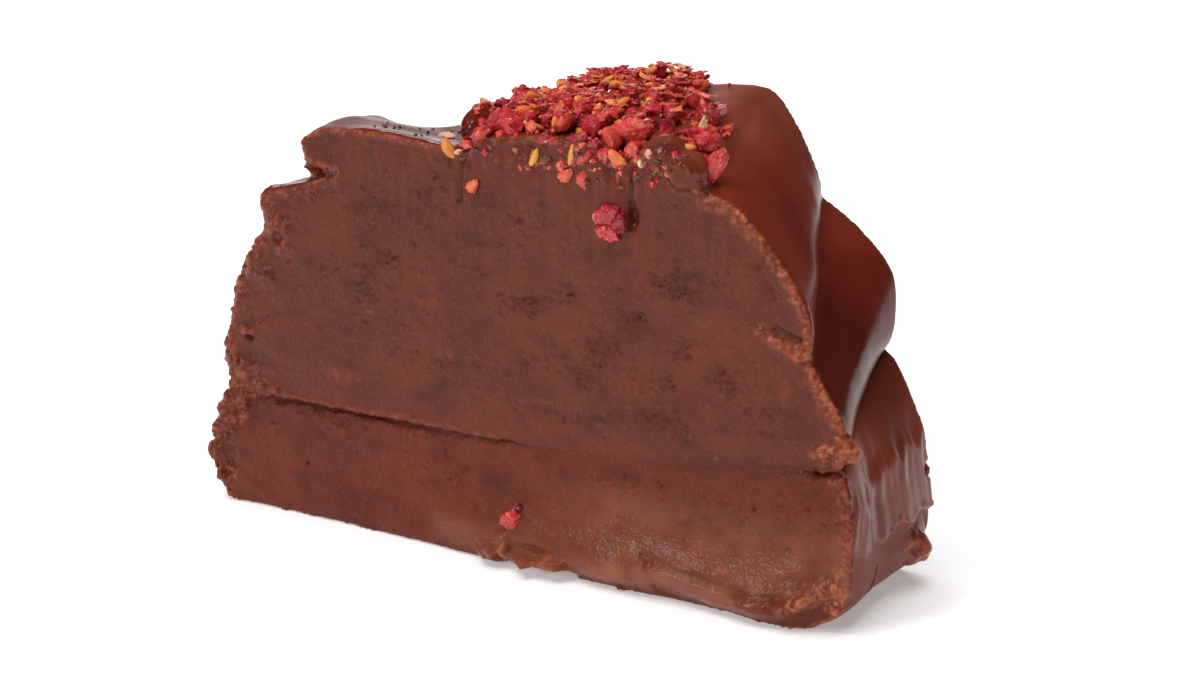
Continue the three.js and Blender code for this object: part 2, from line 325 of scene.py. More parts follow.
BASE_FOLDS = [
    fold("seam_left", [-47.4, 17.3], [-45, 19], [0, 0], [1.6, 1.6], 1.15, 0.6, 2.6),
    fold("heel_left", [-51.2, 3.9], [-49.5, 4], [-0.3, 0], [1, 1], 1, 0.6, 1.6),
    fold("foot_left", [-47, 0], [-45.5, 0], [0, 0], [0, 0], 1, 1, 0.3),
    fold("foot_right", [43, 0], [46.5, 0], [0, 0], [1.6, 0.8], 1, 0.6, 0.8),
    fold("heel_right", [51.4, 4.6], [50.6, 5.6], [0.3, 0], [1.3, 2.6], 1.1, 0.6, 2.6),
    fold("seam_right", [50.6, 22.6], [43.9, 31.2], [-1.4, 0.8], [0, 0], 1, 1, 1.0),
]

TOP_FOLDS = [
    fold("seam_right", [51.6, 23.6], [43.9, 31.6], [-1.4, 0.8], [0.9, 1.3], 0.95, 0.6, 2.4),
    fold("elbow", [48.4, 31.8], [44, 43], [0.6, 0], [0.3, 0.9], 1, 0.7, 2.2),
    fold("crease_right", [45.3, 36.4], [33.2, 51], [0, 0], [4.4, 1.6], 0.85, 0.6, 2.3),
    fold("lip_right", [30.4, 56], [25.5, 65], [0, 0], [3.4, 0.9], 1, 0.6, 0.9),
    fold("groove", [18.4, 58.6], [8, 62.4], [0, 0], [3, 1.5], 1.15, 0.6, 1.4),
    fold("saddle", [-6.4, 57.2], [-21, 54.6], [0, -0.4], [0.6, -1.3], 1.2, 0.9, 1.3),
    fold("shoulder", [-29.2, 58], [-39.5, 53.5], [0, 0.6], [5, 2.6], 1, 0.6, 1.0),
    fold("notch", [-28.3, 51.9], [-37.5, 48], [-2, -2.5], [-0.4, 0.6], 0.7, 0.7, 1.8),
    fold("shelf_tip", [-40.6, 47.6], [-44.5, 45], [-0.6, 0], [0.6, 0.8], 1, 0.7, 3.2),
    fold("nick", [-40.2, 42.6], [-43.5, 41], [0, 0], [3.2, 2.1], 1.2, 0.7, 3.2),
    fold("seam_left", [-47.4, 17.9], [-45, 19.5], [0, 0], [0, 0], 1, 1, 1.5),
]


def crease_at(f, depth):
    return mix(f["front"], f["back"], depth) + f["drift"] * hump(depth)


def fold_point(folds, i, along, depth):
    """A point [x, z] of fold number i, along it from 0 to 1, at a share of the depth."""
    f = folds[i]
    start = crease_at(f, depth)
    chord = crease_at(folds[i + 1], depth) - start
    out = np.array([chord[1], -chord[0]]) / np.hypot(*chord)
    lean = abs(2 * along ** f["lean"] - 1)
    rise = mix(*f["swell"], depth) * (1 - lean**2.2) ** f["blunt"]
    point = start + chord * along + out * rise
    point[1] = max(point[1], 0)
    return point


def seam_point(along, depth):
    left = crease_at(BASE_FOLDS[0], depth)
    right = crease_at(BASE_FOLDS[-1], depth)
    return np.array([mix(left[0], right[0], along), mix(left[1], right[1], along**SEAM_RISE)])


def outline(folds, depth, fold_steps=22, seam_steps=90, seam_lift=0.0):
    """A closed outline, and how wide the torn rim is at each point (nothing along the seam)."""
    points, rims = [], []
    for i in range(len(folds) - 1):
        for k in range(fold_steps):
            points.append(fold_point(folds, i, k / fold_steps, depth))
            rims.append(folds[i]["rim"])
    points.append(crease_at(folds[-1], depth))
    rims.append(folds[-2]["rim"])
    for k in range(1, seam_steps):
        along = k / seam_steps if folds is TOP_FOLDS else 1 - k / seam_steps
        point = seam_point(along, depth)
        shut = 1 - np.interp(point[0], SEAM_OPEN_X, SEAM_OPEN) * (1 - depth)
        points.append(point + np.array([0, seam_lift * shut]))
        rims.append(0.0)
    return np.array(points), np.array(rims)


def drawn_in(points, distance):
    """Moves an outline in along its own normals."""
    run = np.roll(points, -1, axis=0) - np.roll(points, 1, axis=0)
    out = np.stack([run[:, 1], -run[:, 0]], 1)
    out /= np.linalg.norm(out, axis=1, keepdims=True) + 1e-9
    moved = points - out * distance[:, None]
    moved[:, 1] = np.maximum(moved[:, 1], 0)
    return moved


LIP_SHARE = 0.34  # how much of the way across the top belongs to the lip


def top_point(across, depth):
    """A point on the top of the slice. across runs from the lip on the right (0) to the saddle (1)."""
    lip = [f["name"] for f in TOP_FOLDS].index("lip_right")
    on_lip = across < LIP_SHARE
    i = lip if on_lip else lip + 1
    along = across / LIP_SHARE if on_lip else (across - LIP_SHARE) / (1 - LIP_SHARE)
    x, z = fold_point(TOP_FOLDS, i, along, depth)
    return np.array([x, (depth - 0.5) * SLICE_DEPTH, z])


# The two fudge blocks


def wrap_block(name, folds, seam_lift):
    """A grid wrapped round the outlines from the front cut to the back cut, with its ends filled."""
    stations = [0, 0.02, 0.05] + [k / 16 for k in range(1, 16)] + [0.95, 0.98, 1]  # shares of the depth
    rings = []
    for depth in stations:
        points, rims = outline(folds, depth, seam_lift=seam_lift)
        rings.append(drawn_in(points, np.where(rims > 0, CUT_EDGE, 0) if depth in (0, 1) else 0 * rims))
    count = len(rings[0])
    choose()
    bpy.ops.mesh.primitive_grid_add(x_subdivisions=count, y_subdivisions=len(rings) - 1, size=1)
    block = bpy.context.object
    block.name = name
    flat = points_of(block)
    order = np.lexsort((flat[:, 0].round(3), flat[:, 1].round(3)))
    wrapped = np.zeros_like(flat)
    for r, ring in enumerate(rings):
        for i in range(count + 1):
            x, z = ring[i % count]
            wrapped[order[r * (count + 1) + i]] = (x, (stations[r] - 0.5) * SLICE_DEPTH, z)
    put_points(block, wrapped)
    edit(
        block,
        (bpy.ops.mesh.remove_doubles, dict(threshold=1e-7)),
        (bpy.ops.mesh.fill_holes, dict(sides=0)),
        (bpy.ops.mesh.normals_make_consistent, dict(inside=False)),
    )
    return block


def press_on(block, lumps):
    """Presses round lumps onto a block: each has its middle, its length, width and height, and a turn."""
    balls = []
    for middle, size, turn in lumps:
        choose()
        bpy.ops.mesh.primitive_ico_sphere_add(subdivisions=4, radius=0.5 * MM)
        ball = bpy.context.object
        bpy.ops.transform.resize(value=size)
        bpy.ops.transform.rotate(value=-math.radians(turn), orient_axis="Y", center_override=(0, 0, 0))
        bpy.ops.transform.translate(value=Vector(middle) * MM)
        bpy.ops.object.transform_apply(location=True, rotation=True, scale=True)
        balls.append(ball)
    choose(*balls, block)
    bpy.ops.object.join()


def press_crumbs(block, places):
    """Presses torn crumbs onto a block, so that they become part of it."""
    shapes = [shape_points("granule", 120 + k) for k in range(8)]
    rng = np.random.default_rng(21)
    crumbs = Scatter()
    for k, (at, size) in enumerate(places):
        crumbs.add(shapes[k % 8], at, size, random_turn(rng, 0.6), 0)
    mesh = bpy.data.meshes.new("pressed_crumbs")
    mesh.from_pydata((np.concatenate(crumbs.points) * MM).tolist(), [], np.concatenate(crumbs.faces).tolist())
    pressed = bpy.data.objects.new("pressed_crumbs", mesh)
    bpy.context.scene.collection.objects.link(pressed)
    choose(pressed, block)
    bpy.ops.object.join()


def close_grained(block, face_mm):
    """Makes a block one even skin of faces about face_mm long, and then the front cut twice as fine."""
    apply_modifier(block, "REMESH", mode="VOXEL", voxel_size=face_mm * MM)
    apply_modifier(block, "SMOOTH", factor=0.5, iterations=3)
    choose(block)
    bpy.ops.object.mode_set(mode="EDIT")
    bpy.ops.mesh.select_all(action="DESELECT")
    bpy.ops.object.mode_set(mode="OBJECT")
    count = len(block.data.polygons)
    normal = np.empty(count * 3, np.float32)
    centre = np.empty(count * 3, np.float32)
    block.data.polygons.foreach_get("normal", normal)
    block.data.polygons.foreach_get("center", centre)
    faces_front = (normal[1::3] < -0.5) & (centre[1::3] < (FRONT + 2.5) * MM)
    block.data.polygons.foreach_set("select", faces_front)
    bpy.ops.object.mode_set(mode="EDIT")
    bpy.ops.mesh.select_mode(type="FACE")
    bpy.ops.mesh.subdivide(number_cuts=1)
    bpy.ops.object.mode_set(mode="OBJECT")


def from_outline(points, folds, depth):
    """How far each point [x, z] lies inside the torn edge of a cut, and how wide the rim is there."""
    ring, rims = outline(folds, depth)
    starts, ends = ring, np.roll(ring, -1, axis=0)
    keep = rims > 0
    starts, ends, rims = starts[keep], ends[keep], rims[keep]
    nearest = np.full(len(points), 1e9)
    width = np.zeros(len(points))
    for a, b, rim in zip(starts, ends, rims):
        run = b - a
        t = np.clip(((points - a) @ run) / (run @ run + 1e-12), 0, 1)
        gap = np.hypot(*(points - a - t[:, None] * run).T)
        closer = gap < nearest
        nearest[closer] = gap[closer]
        width[closer] = rim
    return nearest, width


def along_stroke(points, stroke):
    """How close each point [x, z] lies to a line of points, in the line's own width: 1 on it, 0 beyond."""
    nearest = np.full(len(points), 1e9)
    for a, b in zip(stroke[:-1], stroke[1:]):
        a, b = np.array(a, float), np.array(b, float)
        run = b - a
        t = np.clip(((points - a) @ run) / (run @ run), 0, 1)
        nearest = np.minimum(nearest, np.hypot(*(points - a - t[:, None] * run).T))
    return nearest


# Marks on the front cut, in [x, z]: where, half width, how far it stands out, and how dark, torn, warm, wet
# Their darkness is painted shade where a mark is a tear, crack, nick, crease, hole, hollow or shadow, and the fudge's
# own colour in stains, flecks, streaks, lines and patches.
TOP_STROKES = [
    ("lower end of the first fold", [(38.6, 39.3), (41.4, 38), (44.2, 36.8)], 0.8, 0.55, 0, 1, 0, 0.3),
    ("tear over that end", [(40.6, 40.2), (42.6, 39.4), (44.2, 38.9)], 0.35, -0.7, 0.8, 0.4, 0, 0),
    ("dark streak, left", [(-45.4, 27.2), (-42, 28.6), (-38.6, 29.9)], 0.5, -0.25, 0.5, 0.2, 0.4, 0),
    ("tear under the shelf", [(-45.6, 31.5), (-43, 32)], 0.35, -0.3, 0.5, 0.3, 0, 0),
    ("short tear", [(-32, 28.9), (-29.4, 29.6)], 0.4, -0.12, 0.35, 0, 0.2, 0),
    ("short tear", [(-22.6, 31), (-21, 30.8)], 0.3, -0.1, 0.4, 0, 0, 0),
    ("short tear", [(-37, 30.6), (-34, 31)], 0.5, -0.1, 0.35, 0, 0, 0),
    ("grey stain", [(-12.8, 23.4), (-10, 24.3), (-7, 25)], 0.8, -0.08, 0.38, 0, 0, 0),
    ("dark fleck", [(-5.8, 23.2), (-3.6, 22.9)], 0.45, -0.15, 0.45, 0.2, 0.3, 0),
    ("grey stain, right", [(13.8, 23.4), (17.6, 24.4), (21.8, 25.4)], 0.6, -0.08, 0.3, 0, 0, 0),
    ("dark fleck, right", [(23.4, 23.4), (25.6, 24.4), (26.8, 25.6)], 0.4, -0.15, 0.35, 0.2, 0.4, 0),
    ("dark fleck, far right", [(30.8, 24.4), (32.6, 24.3)], 0.35, -0.15, 0.4, 0.2, 0.3, 0),
    ("warm streak", [(19.4, 20.6), (22.8, 20.1)], 0.5, 0, 0.1, 0.3, 0.6, 0),
    ("crack from the groove", [(19.5, 59.2), (19.2, 56), (19, 53.4)], 0.2, -0.9, 0.8, 0, 0, 0.4),
    ("left nick", [(-7.2, 56.2), (-7.3, 53), (-7.6, 50)], 0.24, -0.5, 0.8, 0.2, 0, 0),
    ("left nick's side", [(-6.3, 55.6), (-6.2, 53)], 0.45, -0.3, 0.3, 0.4, 0.2, 0),
    ("shadow under the chunk", [(16.8, 48), (17, 45.8)], 0.9, -0.05, 0.3, 0, 0, 0),
    ("drag line", [(1.6, 52.6), (2, 47.6)], 0.15, -0.1, 0.35, 0, 0, 0),
    ("crease to the notch", [(-28.2, 51.6), (-30, 50.8)], 0.4, -0.5, 0.6, 0, 0, 0),
    ("shelf's torn band", [(-29.6, 50), (-33, 48.4), (-37.6, 46.2)], 1.3, -0.2, 0.25, 0.75, 0.2, 0),
    ("torn trail by the pit", [(-37.2, 45.4), (-37.6, 42), (-37.4, 38.2)], 1.2, -0.15, 0.1, 0.7, 0.3, 0),
    ("edge of the right rim", [(35.2, 51.6), (40.4, 45.4), (43.4, 40.4)], 0.4, -0.14, 0.12, 0.3, 0.2, 0),
    ("edge of the lower rim", [(44.6, 34.6), (47, 29.6), (48.4, 25.6)], 0.4, -0.12, 0.12, 0.3, 0.2, 0),
    ("faint line", [(28.6, 36.6), (33, 36.7), (38, 36.3)], 0.3, -0.06, 0.15, 0, 0, 0),
    ("faint line", [(2, 41.8), (9, 41.4), (16, 41.7)], 0.25, -0.06, 0.12, 0, 0, 0),
    ("lower end of the second fold", [(46.6, 24.2), (49, 25.2), (52.4, 25)], 0.9, 0.4, 0, 1, 0, 0.2),
]
# Round marks: where, half width, half height, how far it stands out, and how dark, torn, warm, wet
# As above, the darkness of holes, pits and hollows is painted shade.
TOP_SPOTS = [
    ("pit near the nick", (-38.7, 41.1), 0.8, 1.0, -0.6, 0.1, 0.7, 0.6, 0.6),
    ("rim of that pit", (-38.4, 42.4), 2.2, 1.8, 0.3, 0, 0.9, 0.3, 0),
    ("smooth swelling", (-40.6, 34.6), 2.1, 1.7, 0.5, 0, 0, 0, 0.8),
    ("hole near the left edge", (-44.4, 25.3), 0.9, 0.45, -0.9, 0.8, 0.3, 0, 0),
    ("rim of that hole", (-45, 26.2), 1.9, 0.8, 0.3, 0, 0.8, 0, 0),
    ("grey patch", (-43.4, 22.6), 3.0, 1.7, -0.2, 0.45, 0, 0, 0.2),
    ("warm patch, left", (-40.6, 28), 3.6, 2.2, 0, 0.1, 0.1, 0.9, 0),
    ("granular patch", (-28, 22.6), 2.7, 1.5, 0.12, 0, 0.55, 0.5, 0),
    ("granular patch, middle", (-10, 28.7), 2.2, 1.2, 0.08, 0, 0.35, 0.4, 0),
    ("granular patch, upper", (-12.8, 35.4), 1.9, 1.1, 0.08, 0, 0.35, 0.4, 0),
    ("pale flecks", (-22.4, 32.6), 1.4, 0.5, 0.1, 0, 0.4, 0.3, 0),
    ("red fleck", (-14, 46.7), 0.7, 0.4, -0.1, 0.3, 0.5, 0.4, 0),
    ("red blush", (-22, 52.4), 1.4, 1.0, 0, 0, 0.12, 0.5, 0),
    ("red blush, right", (42, 31.6), 1.2, 2.2, 0, 0, 0.15, 0.5, 0),
    ("warm band over the seam", (6, 20.6), 7.5, 1.2, 0, 0.1, 0.1, 0.7, 0),
    ("wet recess by the chunk", (19.2, 51.8), 1.0, 2.4, -1.3, 0.55, 0.2, 1, 1),
    ("glossy lip", (27.2, 58.8), 4.0, 3.6, 0.1, 0, 0, 0.2, 1),
    ("dull lip, front", (24.6, 57.4), 2.6, 2.0, 0.2, 0, 0, 0.1, 0.3),
    ("warm speck", (5.3, 24.2), 1.6, 0.4, 0.1, 0, 0.4, 0.5, 0),
    ("warm speck, left", (2.2, 23.8), 0.8, 0.3, 0.1, 0, 0.5, 0.5, 0),
    ("warm shelf", (-34, 48.9), 4.4, 1.2, 0, 0.2, 0.5, 0.5, 0),
]
# Where the knife plucked out fine chips: middle, half width, half height, how many
TOP_PLUCKED = [
    ((25, 43.2), 5.0, 2.0, 60),
    ((15, 33.6), 3.8, 2.8, 40),
    ((33, 31.6), 4.2, 2.8, 56),
    ((26.6, 35.4), 2.4, 2.0, 18),
    ((2.4, 37.4), 4.0, 1.6, 26),
    ((8.6, 39.8), 2.6, 1.0, 14),
    ((12, 29), 4.0, 2.0, 26),
    ((3, 29.6), 3.0, 1.6, 20),
    ((20, 38), 2.4, 1.2, 12),
    ((-19, 40.6), 3.0, 1.2, 16),
    ((-14, 27.4), 8.0, 2.4, 30),
    ((-22, 36), 9.0, 5.0, 40),
    ((-26, 49), 8.0, 4.0, 36),
    ((-11, 52), 5.0, 3.6, 30),
    ((3, 49), 3.4, 3.4, 26),
    ((23.6, 30), 3.0, 2.0, 18),
    ((25, 24.8), 4.4, 1.6, 24),
    ((31.6, 45), 5.0, 1.6, 16),
    ((38.6, 28), 3.6, 3.0, 20),
    ((8, 22.8), 8.0, 1.8, 24),
    ((0, 43), 44.0, 14.0, 120),
]
# Marks on the base's front cut, as above: the darkness of nicks, folds, creases and hollows is painted shade.
BASE_STROKES = [
    ("scrape", [(-24.6, 4), (-22.4, 6.6), (-20, 9.2)], 0.3, 0.22, 0, 0.1, 0.5, 0),
    ("torn flap, right", [(43.6, 3), (47, 4.8), (50.8, 6.2)], 0.8, 0.6, 0, 0.8, 0.4, 0.3),
    ("smooth roll beside the flap", [(33, 1.8), (38, 2), (43, 2.4)], 1.1, 0.5, 0, 0, 0.5, 0.6),
    ("hollow over the flap", [(41, 5.6), (45, 7), (49, 8.2)], 0.6, -0.3, 0.2, 0, 0.2, 0.3),
    ("nick at the corner", [(46.4, 21.6), (48.4, 22.6), (49.8, 23)], 0.5, -0.9, 0.9, 0.2, 0, 0),
    ("short fold, low", [(24.2, 1.6), (24.4, 3.6), (23.2, 5.2)], 0.5, -0.35, 0.2, 0, 0, 0.8),
    ("crease over the roll", [(22, 6), (28, 4.9), (34, 4.2), (39, 3.8), (43.4, 4.6)], 0.45, -0.45, 0.15, 0, 0.2, 0.2),
    ("gleam, left", [(20, 5.6), (22.2, 5.2)], 0.9, 0.2, 0, 0, 0, 0.5),
    ("gleam, middle", [(27, 5.4), (31, 5), (35, 6.2)], 0.9, 0.2, 0, 0, 0, 0.45),
    ("gleam, right", [(33, 3.4), (37, 3.2), (40, 3.6)], 1.1, 0.25, 0, 0, 0, 0.6),
]
# Round marks on the base's front cut: the darkness of the pinhole, the hollow and the shadow behind the crumbs is
# painted shade.
BASE_SPOTS = [
    ("tongue, left", (-2, 1.6), 2.7, 2.0, 2.2, 0, 0.1, 0.4, 0.5),
    ("tongue, upper", (-0.4, 3.6), 1.8, 1.8, 0.9, 0, 0.1, 0.4, 0.5),
    ("tongue's torn edge, left", (0.6, 2.2), 0.7, 1.6, 0.5, 0, 0.9, 0.4, 0),
    ("tongue, middle", (3.4, 1.9), 2.0, 0.9, 1.9, 0, 0.2, 0.4, 0.4),
    ("tongue, right", (7.4, 2.1), 3.4, 0.8, 2.3, 0, 0.6, 0.5, 0.2),
    ("tongue's torn edge, right", (8.6, 2.9), 2.4, 0.4, 0.4, 0, 1, 0.5, 0),
    ("hollow behind the tongue", (4.6, 3.4), 3.4, 0.8, -0.25, 0.12, 0, 0, 0.2),
    ("pinhole", (-34.4, 8.1), 0.34, 0.34, -0.6, 1, 0, 0, 0),
    ("smear by the pinhole", (-33, 8.4), 1.4, 0.5, 0, 0.1, 0.2, 0.6, 0),
    ("shadow behind the crumbs", (-44.6, 14.8), 1.8, 2.4, -0.4, 0.55, 0, 0, 0),
    ("grey heel", (-48.4, 7.6), 1.4, 3.4, -0.1, 0.25, 0, 0, 0.8),
    ("warm belly", (-8, 6.4), 10.0, 3.2, 0.1, 0, 0, 0.65, 0.2),
    ("warm belly, middle", (14, 8), 9.0, 3.4, 0.1, 0, 0, 0.6, 0.3),
    ("warm band", (12, 16.8), 12.0, 2.6, 0, 0.1, 0, 0.8, 0),
    ("dark speck", (-9.8, 10.2), 0.4, 0.3, -0.2, 0.8, 0, 0, 0),
    ("dark speck, right", (43.2, 10.6), 0.5, 0.4, -0.2, 0.8, 0, 0, 0),
    ("tan patch", (-9, 3.6), 3.6, 1.0, 0, 0, 0.15, 0.7, 0.4),
]
BASE_PLUCKED = [
    ((38, 15), 10.0, 3.0, 50),
    ((-5, 12), 36.0, 3.0, 50),
    ((20, 15.4), 8.0, 1.2, 26),
    ((-30, 15.8), 6.0, 0.8, 26),
]
# The same on the back cut
TOP_BACK_PLUCKED = [((0, 32), 34, 12, 200)]
BASE_BACK_PLUCKED = [((0, 9), 36, 5, 70)]
# Where the knife dragged raspberry down over the front edge
DRAGGED_CLUMPS = [(-9, 57.5), (-4, 58), (4, 57), (9.5, 56.5), (11, 58), (14, 59), (17, 57.5), (21, 58), (24, 58.6)]
# How open the seam is on the front cut: at an x, from 0 (pressed shut) to 1 (an open groove)
SEAM_OPEN_X = [-47, -44, -40, -30, -20, -8, 0, 3, 6, 24, 30, 36, 44, 47, 50]
SEAM_OPEN = [0.2, 0.1, 0.7, 0.8, 0.8, 0.5, 0.6, 0.15, 0.0, 0.0, 0.0, 0.0, 0.1, 0.7, 0.8]
# How deep the soft trough along the seam is at those places
SEAM_TROUGH = [0.4, 0.5, 0.6, 0.6, 0.6, 0.5, 0.6, 0.3, 0.15, 0.3, 0.9, 1.0, 1.0, 1.0, 1.0]


# Crumbs torn up along the shelf and round the pit, too fine for the solids: where and how large
FINE_TORN_CRUMBS = [
    ((-30.4, -13, 49.6), (1.3, 1, 1.1)),
    ((-31.9, -13, 48.7), (1.5, 1, 1.3)),
    ((-34.8, -13, 47.9), (1.4, 1, 1.2)),
    ((-33, -13, 47.4), (1, 0.8, 0.9)),
    ((-36.6, -13, 47.1), (1.2, 0.9, 1)),
    ((-38.4, -13, 43.6), (1.5, 1.2, 1.3)),
    ((-37, -13, 42.8), (1.1, 1, 1)),
    ((-37.1, -13, 40.2), (1.2, 1, 0.9)),
    ((-38.5, -13, 39), (0.9, 0.8, 1.2)),
]
# Crumbs of fudge torn up along the cut edges, as in the solids: where and how large
TORN_CRUMBS = [
    ((51.3, -13, 25.3), (3.6, 2.6, 2.8)),
    ((48.2, -13.1, 24.6), (2.6, 1.6, 2)),
    ((49.8, -13.2, 23.8), (2.2, 1.6, 1.6)),
    ((44.5, -13, 37.4), (2, 1.8, 2.8)),
    ((51.6, 8.6, 6), (3.8, 4.6, 4.8)),
    ((51, 10.6, 4), (3.2, 3.4, 3.4)),
    ((51.2, 6.4, 7.4), (2.6, 3, 2.6)),
    ((50.6, 12, 15.3), (1.8, 1.8, 2)),
    ((-47.8, -13.2, 4.3), (1.6, 1.2, 1.5)),
    ((-47.5, -12.8, 17.6), (3.1, 2.2, 2.6)),
    ((-46, -12.7, 14.8), (3, 1.8, 3)),
    ((-49.2, -12.6, 13.8), (3.4, 2.6, 3.2)),
    ((-47.2, -12.9, 12.6), (1.8, 1.2, 2)),
    ((-50.6, -12.6, 10.8), (2.8, 2.4, 3)),
    ((-51.4, -12.4, 7.2), (2.4, 2.2, 2.6)),
    ((-49, -12.9, 10.4), (2.4, 1.4, 2.2)),
    ((-50, -12.8, 4), (2.8, 2, 2.4)),
    ((-45.4, -12.9, 19.2), (3.2, 1.6, 2.2)),
    ((-42.4, -12.9, 18.8), (2.8, 1.4, 1.6)),
    ((-46.8, -12.8, 21.2), (2.4, 1.8, 2.2)),
    ((-43.6, -13, 20.6), (1.8, 1.2, 1.4)),
    ((-39.8, -13, 18.2), (1.8, 1, 1.2)),
    ((47.6, -13.2, 22.6), (1.6, 1.2, 1.2)),
    ((44.8, -14, 3.6), (3, 1.2, 1)),
    ((46.6, -14, 4.6), (3.4, 1.6, 1.6)),
    ((48.6, -14, 5.6), (3.4, 1.8, 1.8)),
    ((50.2, -13, 6.4), (2.6, 1.8, 1.6)),
    ((49.8, -13.4, 4), (2.2, 1.4, 2)),
    ((50.6, -13, 8.6), (1.6, 1.2, 2)),
    ((29.4, -13.1, 57.2), (2.8, 1.4, 1.5)),
]


def torn_places(upper):
    """The torn crumbs of the upper or the lower block."""
    nick = [f["name"] for f in TOP_FOLDS].index("nick")
    if upper:
        folds, i, first, count, start, end = TOP_FOLDS, nick, 240, 12, 0.3, 0.97
        smallest, largest, inward_most = 1, 2, 1.2
    else:
        folds, i, first, count, start, end = BASE_FOLDS, 0, 200, 18, 0, 0.95
        smallest, largest, inward_most = 1.2, 2.6, 2.6
    places = [(at, size) for at, size in TORN_CRUMBS + FINE_TORN_CRUMBS if (at[2] >= 18) == upper]
    for k in range(count):
        n = first + k
        share = k / count
        x, z = fold_point(folds, i, mix(start, end, share), 0)
        length = mix(smallest, largest, draw(n, 11))
        inward = mix(0.6, inward_most, draw(n, 12) * (1 - share))
        places.append(((x + inward, FRONT, z), (length, length * 0.9, length * mix(0.75, 1.1, draw(n, 14)))))
    settled = []
    for at, size in places:
        y = FRONT + 0.15 * size[1] if at[1] < FRONT + 1 else at[1]
        settled.append((np.array([at[0], y, at[2]]), np.array(size)))
    return settled


CHIP_MM = (0.16, 0.36)  # how wide the plucked chips are on the front cut
BACK_CHIP_MM = (0.3, 0.5)


def pluck_density(points, clusters):
    """How thickly the fine chips lie at points [x, z], from 0 to 1."""
    total = np.zeros(len(points))
    for (cx, cz), wide, high, count in clusters:
        gap = np.hypot((points[:, 0] - cx) / wide, (points[:, 1] - cz) / high)
        total += min(1, count / (wide * high) / 4) * step(1.3, 0.3, gap)
    return total


def plucked(points, clusters, seed, sizes=CHIP_MM):
    """Comma-shaped chips plucked from a cut: the hollow, and the burr along its lower side."""
    rng = np.random.default_rng(seed)
    relief = np.zeros(len(points))
    dark = np.zeros(len(points))
    for (cx, cz), wide, high, count in clusters:
        for _ in range(count):
            x = cx + wide * rng.normal() * 0.55
            z = cz + high * rng.normal() * 0.55
            size = rng.uniform(*sizes)
            long = size * rng.uniform(1.2, 2.2)
            turn = rng.normal() * 0.5 + 0.35
            near = np.nonzero(np.abs(points[:, 0] - x) + np.abs(points[:, 1] - z) < 3.2 * long)[0]
            if not len(near):
                continue
            dx, dz = points[near, 0] - x, points[near, 1] - z
            u = (dx * math.cos(turn) + dz * math.sin(turn)) / long
            v = (dz * math.cos(turn) - dx * math.sin(turn)) / size + 0.5 * u * u
            hollow = np.exp(-1.6 * (u * u + v * v))
            burr = np.exp(-1.6 * (u * u + (v + 1.3) ** 2))
            relief[near] += size * (0.8 * burr - 0.9 * hollow)
            # painted shade: each chip's hollow is darkened a little
            dark[near] = np.maximum(dark[near], 0.09 * hollow)
    return relief, dark


def mark_front(points, strokes, spots, wobble, crumble):
    """Relief and tints of the listed marks, at points [x, z]."""
    relief = np.zeros(len(points))
    tints = {name: np.zeros(len(points)) for name in ("dark", "torn", "warm", "wet")}
    shapes = []
    for _, line, half, height, *shares in strokes:
        gap = along_stroke(points, line) / half
        shape = np.exp(-np.maximum(gap + 0.5 * wobble + 0.5 * crumble, 0) ** 2)
        shapes.append((shape * (0.55 + 0.45 * step(-0.5, 0.3, crumble)), height, shares))
    for _, (x, z), wide, high, height, *shares in spots:
        gap = np.hypot((points[:, 0] - x) / wide, (points[:, 1] - z) / high)
        shapes.append((step(1.25, 0.45, gap + 0.3 * wobble + 0.2 * crumble), height, shares))
    for shape, height, shares in shapes:
        relief += height * shape
        for name, share in zip(tints, shares):
            tints[name] = np.maximum(tints[name], share * shape)
    return relief, tints


def edges_and_cracks(block):
    """How sharply each point stands out of its surroundings, or lies below them: two shares from 0 to 1."""
    points, normal = points_of(block), normals_of(block)
    ends = np.empty(2 * len(block.data.edges), np.int32)
    block.data.edges.foreach_get("vertices", ends)
    ends = ends.reshape(-1, 2)
    here, there = np.concatenate([ends[:, 0], ends[:, 1]]), np.concatenate([ends[:, 1], ends[:, 0]])
    count = np.maximum(np.bincount(here, minlength=len(points)), 1)
    away = points[there] - points[here]
    fall = -(away * normal[here]).sum(axis=1) * 2 / np.maximum((away**2).sum(axis=1), 1e-4)
    bend = np.bincount(here, fall, minlength=len(points)) / count
    for _ in range(2):
        bend = 0.5 * bend + 0.5 * np.bincount(here, bend[there], minlength=len(points)) / count
    return step(0.1, 0.8, bend), step(-0.1, -0.8, bend)


